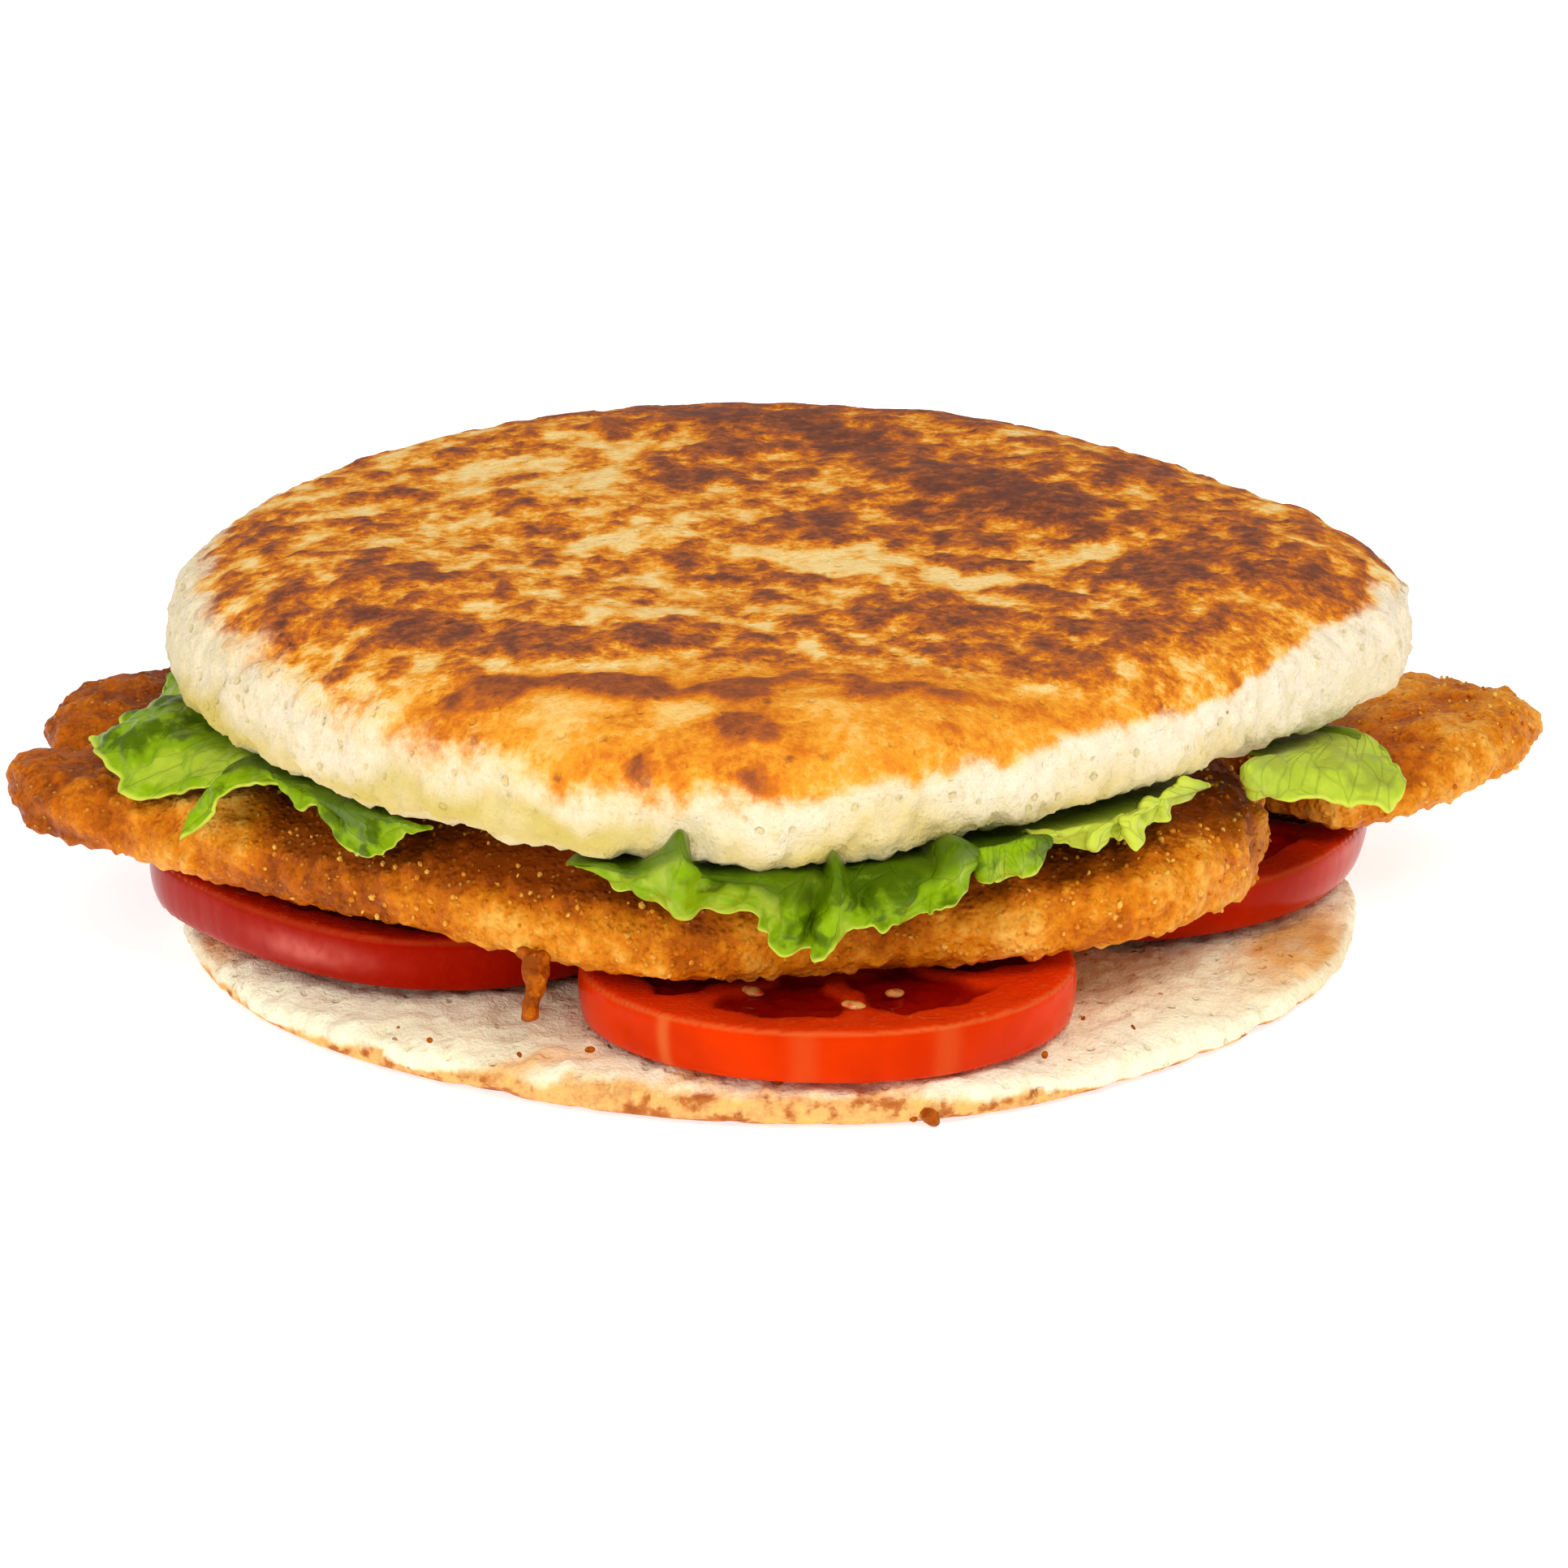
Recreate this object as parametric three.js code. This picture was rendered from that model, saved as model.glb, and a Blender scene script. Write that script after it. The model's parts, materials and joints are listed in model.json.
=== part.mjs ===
// Stuffed arepa: a griddled corn cake split in two, filled with tomato slices, two crumbed fillets and
// lettuce. Millimetres, +Z up. The origin is the middle of the lower half's flat underside.
import * as THREE from "three";
import { mergeVertices } from "three/addons/utils/BufferGeometryUtils.js";

// ---------- driving dimensions ----------
const CAKE_RADIUS = 77; // mean radius of the uncut corn cake
const BASE_RIM_HEIGHT = 5.6; // lower half, at its edge
const BASE_CROWN_HEIGHT = 6.6; // lower half, at its middle
const TOMATO_THICKNESS = 6.8;
const CUT_FACE_HEIGHT = 33; // underside of the upper half above the table
const CUT_FACE_LIFT = 1; // how much higher that underside is at its raised edge
const RAISED_EDGE = THREE.MathUtils.degToRad(315); // direction of the raised edge
const LID_THICKNESS = 18; // upper half, at its middle
const LID_BACK_EXTRA = 1.8; // how much thicker the upper half is towards its far edge
const LEAF_THICKNESS = 1.1;
const LEAF_REST = 31.9; // middle of a leaf where it lies under the upper half
const TOUCH_GAP = 0.35; // gap left between pieces that lie on each other
const DRAPE_GAP = 0.8; // gap left between a leaf and the fillet that it drapes over

const ROUND_SEGMENTS = 44; // around the cake halves
const TOMATO_SEGMENTS = 28;
const FILLET_STATIONS = 28; // along a fillet
const FILLET_SIDES = 16; // around a fillet's section
const LEAF_CELL = 3.6; // size of a lettuce facet

const TOMATO_BASE = BASE_CROWN_HEIGHT + TOUCH_GAP;

// Radius of each half at every 30 degrees, as a share of CAKE_RADIUS, anticlockwise from +X.
const LID_OUTLINE = [1.065, 0.985, 0.985, 1.03, 1.035, 1.005, 1, 0.965, 0.985, 1.02, 0.93, 0.93];
const BASE_OUTLINE = [0.985, 0.975, 0.975, 0.98, 0.985, 0.985, 0.985, 0.98, 0.967, 0.995, 0.98, 0.98];

// Radius share and height share of each half's edge, from the middle of one face to the middle of the other.
const LID_PROFILE = [
  [0, 0], [0.5, 0], [0.8, 0], [0.925, 0], [0.965, 0.05], [0.99, 0.2], [1, 0.42], [0.994, 0.58],
  [0.972, 0.71], [0.93, 0.82], [0.865, 0.905], [0.76, 0.96], [0.5, 0.99], [0.25, 1], [0, 1],
];
const BASE_PROFILE = [
  [0, 0], [0.5, 0], [0.85, 0], [0.955, 0], [0.985, 0.16], [1, 0.4], [0.994, 0.64],
  [0.965, 0.78], [0.91, 0.86], [0.8, 0.93], [0.5, 0.98], [0, 1],
];
const TOMATO_PROFILE = [
  [0, 0], [0.6, 0], [0.93, 0], [0.985, 0.2], [1, 0.5], [0.985, 0.8], [0.93, 1], [0.6, 1], [0, 1],
];

// Middle, half width and half depth of each tomato slice, its radius at every 30 degrees as a share of
// those, anticlockwise from +X, and how much lower its near edge lies than its far edge.
const TOMATO_SLICES = {
  tomato_front: {
    middle: [7, -51], half: [30.6, 26], lean: 1.5,
    outline: [1, 0.99, 1, 1.01, 0.99, 1, 1, 1.01, 1, 0.99, 1.01, 1.01],
  },
  tomato_left: {
    middle: [-44, -11], half: [36, 36], lean: 0,
    outline: [0.99, 1, 1.01, 1, 0.99, 1.01, 0.99, 0.88, 0.9, 1.03, 1.065, 0.94],
  },
  tomato_right: {
    middle: [43, 6], half: [35.5, 36], lean: 0,
    outline: [0.975, 1, 1.01, 1, 0.99, 1, 1, 0.99, 1, 1.02, 0.995, 0.95],
  },
  tomato_back: {
    middle: [-7, 53], half: [29, 25.5], lean: 0,
    outline: [1.01, 0.99, 1, 1.01, 1, 0.99, 1, 1.01, 0.99, 1, 1, 1],
  },
};

// Sections along each fillet, from its left tip to its right tip:
// [x, near edge y, far edge y, height of the underside, thickness].
const FILLETS = {
  fillet_front: [
    [-99, 0, 0, 18, 0], [-97, -8, 4, 15.5, 7.5], [-90, -16, 5.5, 14.2, 9.5], [-80, -24, 5, 14.4, 10.5],
    [-64, -38, 4.5, 14.1, 12.5], [-46, -51, 4, 14.1, 14], [-28, -63, 4, 14.1, 15.2],
    [-10, -69.5, 4, 14.1, 15.5], [8, -66, 4, 14.1, 15.5], [28, -62, 3.5, 14.1, 15],
    [46, -55, 2, 14.1, 13.5], [56, -44, -1, 14.2, 12], [61, -33, -10, 14.6, 9.5], [63, -20, -20, 18, 0],
  ],
  fillet_rear: [
    [-96, 20, 20, 18, 0], [-93, 10.5, 31, 15, 8], [-85, 9, 36, 14.4, 10.5], [-72, 7.5, 40, 14.1, 12],
    [-48, 6.5, 52, 14.1, 14], [-20, 6.5, 62, 14.1, 15.5], [10, 6.5, 64, 14.1, 15.5],
    [36, 6.2, 57, 14.1, 14.5], [52, 5.5, 49, 14.1, 13], [60.5, 2, 45, 14.1, 12], [66, -9, 43, 14.2, 11],
    [74, -14, 40, 14.4, 10.5], [82, -9, 37, 15, 10], [92, 1, 32.5, 16, 9], [98.5, 9, 25, 17, 7],
    [101, 17, 17, 19.5, 0],
  ],
};
const FILLET_TOP_ROUNDNESS = 2.6; // exponent of the section's curve: 2 is an ellipse, more is boxier
const FILLET_FOOT_ROUNDNESS = 4;
const FILLET_EDGE = 0.45; // height of the fillet's widest line, as a share of its thickness

// Lettuce leaves, each a ruffled strip that runs round the filling: its two ends in degrees, the radius of
// its inner and outer edge, the number and depth of its ruffles, and how far its outer edge droops.
const LEAVES = {
  lettuce_left: { from: 163, to: 194, inner: 50, outer: 87, ruffles: 1.5, ruffle: 1.2, droop: 2.5 },
  lettuce_left_curl: { from: 196, to: 231, inner: 48, outer: 80, ruffles: 3.5, ruffle: 1.4, droop: 3.5 },
  lettuce_front: { from: 249, to: 287, inner: 42, outer: 83, ruffles: 4.5, ruffle: 1.8, droop: 6.5 },
  lettuce_front_right: { from: 289, to: 326, inner: 42, outer: 73, ruffles: 3, ruffle: 1.2, droop: 3 },
  lettuce_right: { from: 328, to: 356, inner: 50, outer: 82, ruffles: 1.5, ruffle: 1.4, droop: 3 },
  lettuce_back: { from: 38, to: 78, inner: 46, outer: 82, ruffles: 4.5, ruffle: 1.8, droop: 5 },
  lettuce_back_left: { from: 102, to: 140, inner: 46, outer: 83, ruffles: 3.5, ruffle: 1.8, droop: 5 },
};
const LEAF_END_WIDTH = 0.4; // width of a leaf's ends, as a share of its widest

const COLOURS = {
  crust: 0xd9a45e,
  crumb: 0xe9dcae,
  tomato: 0xc8401f,
  fillet: 0xb97a35,
  lettuce: 0x8fb53a,
};

// ---------- helpers ----------
// A closed mesh with only positions, its shared corners merged and its empty faces dropped.
function closed(geometry) {
  geometry.deleteAttribute("normal");
  geometry.deleteAttribute("uv");
  geometry.clearGroups();
  const merged = mergeVertices(geometry, 1e-3);
  const corners = Array.from(merged.index.array);
  const kept = [];
  for (let i = 0; i < corners.length; i += 3) {
    const [a, b, c] = corners.slice(i, i + 3);
    if (a !== b && b !== c && c !== a) {
      kept.push(a, b, c);
    }
  }
  merged.setIndex(kept);
  merged.computeVertexNormals();
  return merged;
}

// Moves every corner of a geometry to where place(x, y, z) puts it.
function warp(geometry, place) {
  const at = geometry.attributes.position;
  for (let i = 0; i < at.count; i += 1) {
    at.setXYZ(i, ...place(at.getX(i), at.getY(i), at.getZ(i)));
  }
  return closed(geometry);
}

// A disc of unit radius and unit height turned from a profile about +Z.
function turned(profile, segments) {
  const points = profile.map(([radius, height]) => new THREE.Vector2(radius, height));
  return new THREE.LatheGeometry(points, segments).rotateX(Math.PI / 2);
}

// The cubic through p1 and p2 with the given slopes there, t going from 0 to 1 between them.
function cubic(t, p1, p2, slope1, slope2) {
  const bend = 3 * (p2 - p1) - 2 * slope1 - slope2;
  const twist = 2 * (p1 - p2) + slope1 + slope2;
  return p1 + slope1 * t + bend * t ** 2 + twist * t ** 3;
}

// A smooth closed outline through radii given at even angles.
function radiusAt(radii, angle) {
  const steps = THREE.MathUtils.euclideanModulo(angle / (2 * Math.PI), 1) * radii.length;
  const first = Math.floor(steps);
  const at = (offset) => radii[(first + offset + radii.length) % radii.length];
  return cubic(steps - first, at(0), at(1), (at(1) - at(-1)) / 2, (at(2) - at(0)) / 2);
}

// One column of a fillet's sections, smoothly read at x.
function sectionValue(sections, x, column) {
  const last = sections.length - 1;
  const after = sections.findIndex((section) => section[0] > x);
  const right = after < 0 ? last : Math.max(after, 1);
  const left = right - 1;
  const slope = (i) => {
    const low = sections[Math.max(i - 1, 0)];
    const high = sections[Math.min(i + 1, last)];
    return (high[column] - low[column]) / (high[0] - low[0]);
  };
  const span = sections[right][0] - sections[left][0];
  const t = (x - sections[left][0]) / span;
  return cubic(t, sections[left][column], sections[right][column], slope(left) * span, slope(right) * span);
}

function filletSection(sections, x) {
  const [near, far, under, thickness] = [1, 2, 3, 4].map((column) => sectionValue(sections, x, column));
  return {
    middle: (near + far) / 2,
    half: Math.max((far - near) / 2, 0),
    under,
    thickness: Math.max(thickness, 0),
  };
}

// Height of a fillet's top above (x, y), the fillet swollen by DRAPE_GAP, or 0 beside it.
function drapedHeight(sections, x, y) {
  const first = sections[0][0];
  const last = sections[sections.length - 1][0];
  if (x < first || x > last) {
    return 0;
  }
  const { middle, half, under, thickness } = filletSection(sections, x);
  const across = Math.abs(y - middle) / (half + 2 * DRAPE_GAP);
  if (across > 1) {
    return 0;
  }
  const rise = (1 - across ** FILLET_TOP_ROUNDNESS) ** (1 / FILLET_TOP_ROUNDNESS);
  return under + thickness * (FILLET_EDGE + (1 - FILLET_EDGE) * rise) + DRAPE_GAP;
}

// ---------- pieces ----------
function cakeLid() {
  return warp(turned(LID_PROFILE, ROUND_SEGMENTS), (x, y, height) => {
    const angle = Math.atan2(y, x);
    const share = Math.hypot(x, y);
    const radius = share * CAKE_RADIUS * radiusAt(LID_OUTLINE, angle);
    const raised = Math.max(Math.cos(angle - RAISED_EDGE), 0) ** 4 * share ** 3;
    const thickness = LID_THICKNESS + LID_BACK_EXTRA * Math.max(y, 0);
    const z = CUT_FACE_HEIGHT + CUT_FACE_LIFT * raised * (1 - height) + thickness * height;
    return [radius * Math.cos(angle), radius * Math.sin(angle), z];
  });
}

function cakeBase() {
  return warp(turned(BASE_PROFILE, ROUND_SEGMENTS), (x, y, height) => {
    const angle = Math.atan2(y, x);
    const share = Math.hypot(x, y);
    const radius = share * CAKE_RADIUS * radiusAt(BASE_OUTLINE, angle);
    const top = BASE_CROWN_HEIGHT + (BASE_RIM_HEIGHT - BASE_CROWN_HEIGHT) * share ** 2;
    return [radius * Math.cos(angle), radius * Math.sin(angle), height * top];
  });
}

function tomatoSlice({ middle, half, outline, lean }) {
  return warp(turned(TOMATO_PROFILE, TOMATO_SEGMENTS), (x, y, height) => {
    const reach = radiusAt(outline, Math.atan2(y, x));
    return [
      middle[0] + half[0] * reach * x,
      middle[1] + half[1] * reach * y,
      TOMATO_BASE + TOMATO_THICKNESS * height - (lean * (1 - y)) / 2,
    ];
  });
}

// A unit ball with its poles on the X axis, drawn out along the fillet's sections.
function crumbedFillet(sections) {
  const ball = new THREE.SphereGeometry(1, FILLET_SIDES, FILLET_STATIONS).rotateZ(-Math.PI / 2);
  const first = sections[0][0];
  const last = sections[sections.length - 1][0];
  const boxy = (value, roundness) => Math.sign(value) * Math.abs(value) ** (2 / roundness);
  return warp(ball, (along, y, z) => {
    const x = (first + last) / 2 + (along * (last - first)) / 2;
    const { middle, half, under, thickness } = filletSection(sections, x);
    const turn = Math.atan2(z, y);
    const roundness = z > 0 ? FILLET_TOP_ROUNDNESS : FILLET_FOOT_ROUNDNESS;
    const reach = z > 0 ? 1 - FILLET_EDGE : FILLET_EDGE;
    return [
      x,
      middle + half * boxy(Math.cos(turn), roundness),
      under + thickness * (FILLET_EDGE + reach * boxy(Math.sin(turn), roundness)),
    ];
  });
}

function lettuceLeaf({ from, to, inner, outer, ruffles, ruffle, droop }) {
  const sweep = THREE.MathUtils.degToRad(to - from);
  const cellsAlong = Math.round((sweep * outer) / LEAF_CELL);
  const cellsAcross = Math.round((outer - inner) / LEAF_CELL);
  const strip = new THREE.BoxGeometry(1, 1, 1, cellsAlong, cellsAcross, 1);
  return warp(strip, (along, across, side) => {
    const u = 0.5 - along;
    const v = across + 0.5;
    const angle = THREE.MathUtils.degToRad(from) + sweep * u;
    const width = LEAF_END_WIDTH + (1 - LEAF_END_WIDTH) * Math.sin(Math.PI * u) ** 0.6;
    const wave = Math.sin(2 * Math.PI * ruffles * u);
    const radius = inner + (outer - inner) * (0.5 + (v - 0.5) * width) + wave * v;
    const x = radius * Math.cos(angle);
    const y = radius * Math.sin(angle);
    const wish = LEAF_REST - ruffle * v * (1 - wave) - droop * v ** 1.6;
    const floor = Math.max(...Object.values(FILLETS).map((sections) => drapedHeight(sections, x, y)));
    return [x, y, Math.max(wish, floor + LEAF_THICKNESS / 2) + LEAF_THICKNESS * side];
  });
}

// ---------- the arepa ----------
const arepa = new THREE.Group();

function addPiece(name, geometry, color, roughness) {
  const piece = new THREE.Mesh(geometry, new THREE.MeshStandardMaterial({ color, roughness, metalness: 0 }));
  piece.name = name;
  arepa.add(piece);
}

addPiece("arepa_top", cakeLid(), COLOURS.crust, 0.75);
addPiece("arepa_bottom", cakeBase(), COLOURS.crumb, 0.85);
for (const [name, slice] of Object.entries(TOMATO_SLICES)) {
  addPiece(name, tomatoSlice(slice), COLOURS.tomato, 0.25);
}
for (const [name, sections] of Object.entries(FILLETS)) {
  addPiece(name, crumbedFillet(sections), COLOURS.fillet, 0.8);
}
for (const [name, leaf] of Object.entries(LEAVES)) {
  addPiece(name, lettuceLeaf(leaf), COLOURS.lettuce, 0.4);
}

export default arepa;
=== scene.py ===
"""Looks of a stuffed arepa: the griddled corn cake, its crumbed fillets, tomato slices and lettuce."""

import json
import math

import bpy
import numpy as np
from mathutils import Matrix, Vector

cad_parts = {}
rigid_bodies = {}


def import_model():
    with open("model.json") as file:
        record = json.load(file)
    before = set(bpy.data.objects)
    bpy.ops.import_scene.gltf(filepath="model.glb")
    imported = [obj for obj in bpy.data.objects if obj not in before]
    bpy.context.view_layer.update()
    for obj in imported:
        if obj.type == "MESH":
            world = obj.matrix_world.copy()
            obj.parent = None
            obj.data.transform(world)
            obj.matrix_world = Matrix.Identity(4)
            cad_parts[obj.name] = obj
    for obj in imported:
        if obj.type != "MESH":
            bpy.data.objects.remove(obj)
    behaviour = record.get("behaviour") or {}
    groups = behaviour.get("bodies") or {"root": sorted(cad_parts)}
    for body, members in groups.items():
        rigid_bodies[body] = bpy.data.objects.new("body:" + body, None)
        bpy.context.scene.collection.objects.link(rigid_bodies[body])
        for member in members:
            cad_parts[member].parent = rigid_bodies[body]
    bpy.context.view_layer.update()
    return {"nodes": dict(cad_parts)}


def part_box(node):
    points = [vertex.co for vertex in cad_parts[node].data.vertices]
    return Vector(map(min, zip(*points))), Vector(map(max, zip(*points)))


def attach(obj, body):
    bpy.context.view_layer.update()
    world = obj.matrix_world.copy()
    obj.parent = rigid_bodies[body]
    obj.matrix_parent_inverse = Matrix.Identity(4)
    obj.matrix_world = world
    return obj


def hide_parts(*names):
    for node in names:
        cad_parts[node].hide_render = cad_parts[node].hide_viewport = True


bl_info = {
    "name": "Stuffed arepa",
    "version": (1, 0, 0),
    "blender": (4, 5, 0),
    "location": "3D View > Sidebar > Arepa",
    "description": "Models the finished surfaces of a griddled corn cake and its filling",
    "category": "Object",
}

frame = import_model()
MM = 0.001
BODY = "root"


def linear(red, green, blue):
    """A linear colour from the 0 to 255 values that a screen shows."""
    shares = (red / 255, green / 255, blue / 255)
    return tuple(s / 12.92 if s <= 0.04045 else ((s + 0.055) / 1.055) ** 2.4 for s in shares)


def colour(name, description, red, green, blue):
    """A colour setting."""
    shade = linear(red, green, blue)
    return bpy.props.FloatVectorProperty(
        name=name, description=description, subtype="COLOR", size=3, min=0, max=1, default=shade
    )


def length(name, description, millimetres):
    """A length setting."""
    size = millimetres * MM
    return bpy.props.FloatProperty(
        name=name, description=description, unit="LENGTH", subtype="DISTANCE", precision=5, default=size
    )


def amount(name, description, value, unit="NONE"):
    """A setting that is a number in its own unit."""
    return bpy.props.FloatProperty(name=name, description=description, unit=unit, default=value)


# ---------- settings ----------
class CornCakeSettings(bpy.types.PropertyGroup):
    """Sizes and colours of the two halves of the corn cake."""

    skin: length("Skin detail", "Spacing of the points on the cake's skin", 0.85)
    swell: length("Swell", "Height of the soft unevenness of the griddled crust", 0.9)
    blister: length("Blisters", "Height of the toasted blisters", 0.35)
    crumble: length("Crumble", "Depth of the crumbly relief of the cut and pale sides", 0.6)
    wall: length("Wall", "How far the upper half's lower edge is drawn out", 1.4)
    nose: length("Nose", "How far the lower half bulges at the near right", 2.2)
    flare: length("Flare", "How far the lower half's foot spreads on the table", 0.9)
    crumb: colour("Crumb", "Pale side of the upper half", 246, 230, 202)
    # Crumb shade is also the painted shade on the left of the pale side and in its pits.
    crumb_shade: colour("Crumb shade", "Moist yellow patches of the pale side", 214, 190, 104)
    cut: colour("Cut crumb", "Crumb of the lower half", 255, 248, 216)
    cream: colour("Cream crust", "Crust that hardly touched the griddle", 255, 218, 144)
    glow: colour("Glowing crust", "Tone between the cream and golden crust", 250, 194, 104)
    gold: colour("Golden crust", "Lightly toasted crust", 242, 160, 44)
    orange: colour("Orange crust", "Well toasted crust", 216, 118, 26)
    brown: colour("Brown crust", "Dark toasted crust", 172, 90, 42)
    dark: colour("Dark crust", "Scorched patches", 130, 68, 38)
    scorch: colour("Scorched crust", "Darkest scorched spots", 106, 56, 42)
    foot_pale: colour("Pale foot", "Lightest toasting of the lower half's foot", 236, 182, 110)
    foot_dark: colour("Dark foot", "Darker toasting of the lower half's foot", 196, 118, 54)
    stain: colour("Stained crumb", "Crumb stained by the filling", 246, 172, 80)


class FilletSettings(bpy.types.PropertyGroup):
    """Sizes and colours of the crumbed fillets."""

    skin: length("Skin detail", "Spacing of the points on the coating", 0.75)
    lump: length("Lumps", "Height of the coating's broad lumps", 1.3)
    crumb: length("Crumbs", "Height of the coating's crumbs", 0.72)
    sag: length("Sag", "How far the near edge sags onto the slices below", 1.4)
    golden: colour("Golden", "Main colour of the fried coating", 224, 134, 20)
    light: colour("Light crumb", "Tips of the crumbs", 250, 190, 84)
    rust: colour("Rusty gold", "Darker patches of the coating", 194, 98, 6)
    # Deep brown is also the painted shade where the upper half covers the coating.
    deep: colour("Deep brown", "Hollows between the crumbs", 142, 62, 3)


class TomatoSettings(bpy.types.PropertyGroup):
    """Sizes and colours of the tomato slices."""

    skin: length("Skin detail", "Spacing of the points on a slice", 0.6)
    wall: length("Wall", "Thickness of the fleshy outer wall", 5.6)
    sink: length("Gel sink", "Depth of the gel pockets below the cut", 0.7)
    fresh: colour("Orange-red skin", "Skin of the front slice", 222, 52, 0)
    ripe: colour("Deep red skin", "Skin of the side slices", 150, 9, 1)
    # Painted sheen: the pale pinkish reflection painted on the side slices' skin.
    painted_sheen: colour("Bloom", "Paler, duller skin", 214, 104, 92)
    flesh: colour("Flesh", "Cut flesh", 222, 50, 6)
    gel: colour("Gel", "Gel pockets round the seeds", 146, 8, 0)
    seed: colour("Seeds", "Tomato seeds", 236, 178, 92)


class LettuceSettings(bpy.types.PropertyGroup):
    """Sizes and colours of the lettuce leaves."""

    thickness: length("Thickness", "Thickness of a leaf", 0.5)
    green: colour("Leaf green", "Main colour of a leaf", 132, 166, 8)
    # Pale green is also the painted highlight on the ridges of the folds.
    pale: colour("Pale green", "Ribs and rim of a leaf", 206, 216, 76)
    # Dark green is also the painted shade in the folds and near the root, under the upper half.
    dark: colour("Dark green", "Folds and inner part of a leaf", 62, 88, 0)


class StageSettings(bpy.types.PropertyGroup):
    """Camera, floor and lights."""

    distance: length("Distance", "Camera to the point that it looks at", 850)
    elevation: bpy.props.FloatProperty(
        name="Elevation", description="Camera above the horizon", subtype="ANGLE", default=math.radians(18)
    )
    lens: amount("Lens", "Focal length in millimetres", 152, "CAMERA")
    aim: bpy.props.FloatVectorProperty(
        name="Aim", description="Point that the camera looks at", subtype="XYZ", unit="LENGTH",
        default=(1.7 * MM, -2 * MM, 19 * MM),
    )
    floor: colour("Floor", "Plain pale floor", 212, 212, 212)
    glow: amount("Glow", "Light that the lit floor gives off", 0.72)
    daylight: amount("Daylight", "Strength of the even white light", 0.45)
    key: amount("Key", "Power of the main soft light in watts", 7.7, "POWER")
    fill: amount("Fill", "Power of the fill light in watts", 6, "POWER")


SETTINGS = {
    "arepa_cake": CornCakeSettings,
    "arepa_fillet": FilletSettings,
    "arepa_tomato": TomatoSettings,
    "arepa_lettuce": LettuceSettings,
    "arepa_stage": StageSettings,
}


# ---------- shape helpers ----------
def only(piece):
    """Selects one piece and makes it active."""
    if bpy.context.object and bpy.context.object.mode != "OBJECT":
        bpy.ops.object.mode_set(mode="OBJECT")
    bpy.ops.object.select_all(action="DESELECT")
    piece.select_set(True)
    bpy.context.view_layer.objects.active = piece


def added(name):
    """Names the new primitive and puts its place and size into its mesh."""
    piece = bpy.context.object
    piece.name = name
    piece.data.name = name
    bpy.ops.object.transform_apply(location=True, rotation=True, scale=True)
    return piece


def choose_faces(piece, test):
    """Enters edit mode with the faces selected for which test(centre, normal) holds."""
    only(piece)
    bpy.ops.object.mode_set(mode="EDIT")
    bpy.ops.mesh.select_mode(type="FACE")
    bpy.ops.mesh.select_all(action="DESELECT")
    bpy.ops.object.mode_set(mode="OBJECT")
    for face in piece.data.polygons:
        face.select = bool(test(face.center, face.normal))
    bpy.ops.object.mode_set(mode="EDIT")


def choose_edges(piece, test):
    """Enters edit mode with the edges selected for which test(end, other end) holds."""
    only(piece)
    bpy.ops.object.mode_set(mode="EDIT")
    bpy.ops.mesh.select_mode(type="EDGE")
    bpy.ops.mesh.select_all(action="DESELECT")
    bpy.ops.object.mode_set(mode="OBJECT")
    points = piece.data.vertices
    for edge in piece.data.edges:
        edge.select = bool(test(points[edge.vertices[0]].co, points[edge.vertices[1]].co))
    bpy.ops.object.mode_set(mode="EDIT")


def finish_with(piece, kind, **values):
    """Adds a modifier and applies it."""
    only(piece)
    modifier = piece.modifiers.new(kind.title(), kind)
    for name, value in values.items():
        setattr(modifier, name, value)
    bpy.ops.object.modifier_apply(modifier=modifier.name)


def even_skin(piece, spacing):
    """Rebuilds the piece's skin with evenly spaced points."""
    finish_with(piece, "REMESH", mode="VOXEL", voxel_size=spacing, adaptivity=0)


def merged_copy(name, node):
    """A copy of a frame node with its loose triangles joined."""
    source = frame["nodes"][node]
    piece = bpy.data.objects.new(name, source.data.copy())
    bpy.context.scene.collection.objects.link(piece)
    piece.data.materials.clear()
    only(piece)
    bpy.ops.object.mode_set(mode="EDIT")
    bpy.ops.mesh.select_all(action="SELECT")
    bpy.ops.mesh.remove_doubles(threshold=0.01 * MM)
    bpy.ops.object.mode_set(mode="OBJECT")
    return piece


def points_of(piece):
    """The piece's points in millimetres."""
    values = np.empty(len(piece.data.vertices) * 3, np.float32)
    piece.data.vertices.foreach_get("co", values)
    return values.reshape(-1, 3).astype(float) / MM


def place_points(piece, points):
    """Moves the piece's points to places in millimetres."""
    piece.data.vertices.foreach_set("co", (points * MM).astype(np.float32).ravel())
    piece.data.update()


def normals_of(piece):
    """The outward direction at each of the piece's points."""
    values = np.empty(len(piece.data.vertices) * 3, np.float32)
    piece.data.vertex_normals.foreach_get("vector", values)
    return values.reshape(-1, 3).astype(float)


def paint(piece, name, values):
    """Stores one number a point, which the material reads."""
    attribute = piece.data.attributes.new(name, "FLOAT", "POINT")
    attribute.data.foreach_set("value", np.asarray(values, np.float32))


def smooth_shaded(piece):
    """Shades the piece as one smooth skin."""
    only(piece)
    bpy.ops.object.shade_smooth()


def complete(piece, finish, slot, *nodes):
    """Gives a finished piece its material and its place in the frame."""
    piece.data.materials.clear()
    piece.data.materials.append(finish)
    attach(piece, BODY)
    if nodes:
        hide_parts(*nodes)


# ---------- noise ----------
# Large odd numbers that scramble a cell's whole-numbered place and its seed.
SEED_FACTOR = 2654435761
SEED_SHIFT = 12345
AXIS_FACTORS = (73856093, 19349663, 83492791)
MIX_FACTOR = np.uint32(0x2C1B3C6D)
LAST_FACTOR = np.uint32(0x297A2D39)
WORD_COUNT = 2**32  # how many numbers 32 bits can hold


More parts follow.
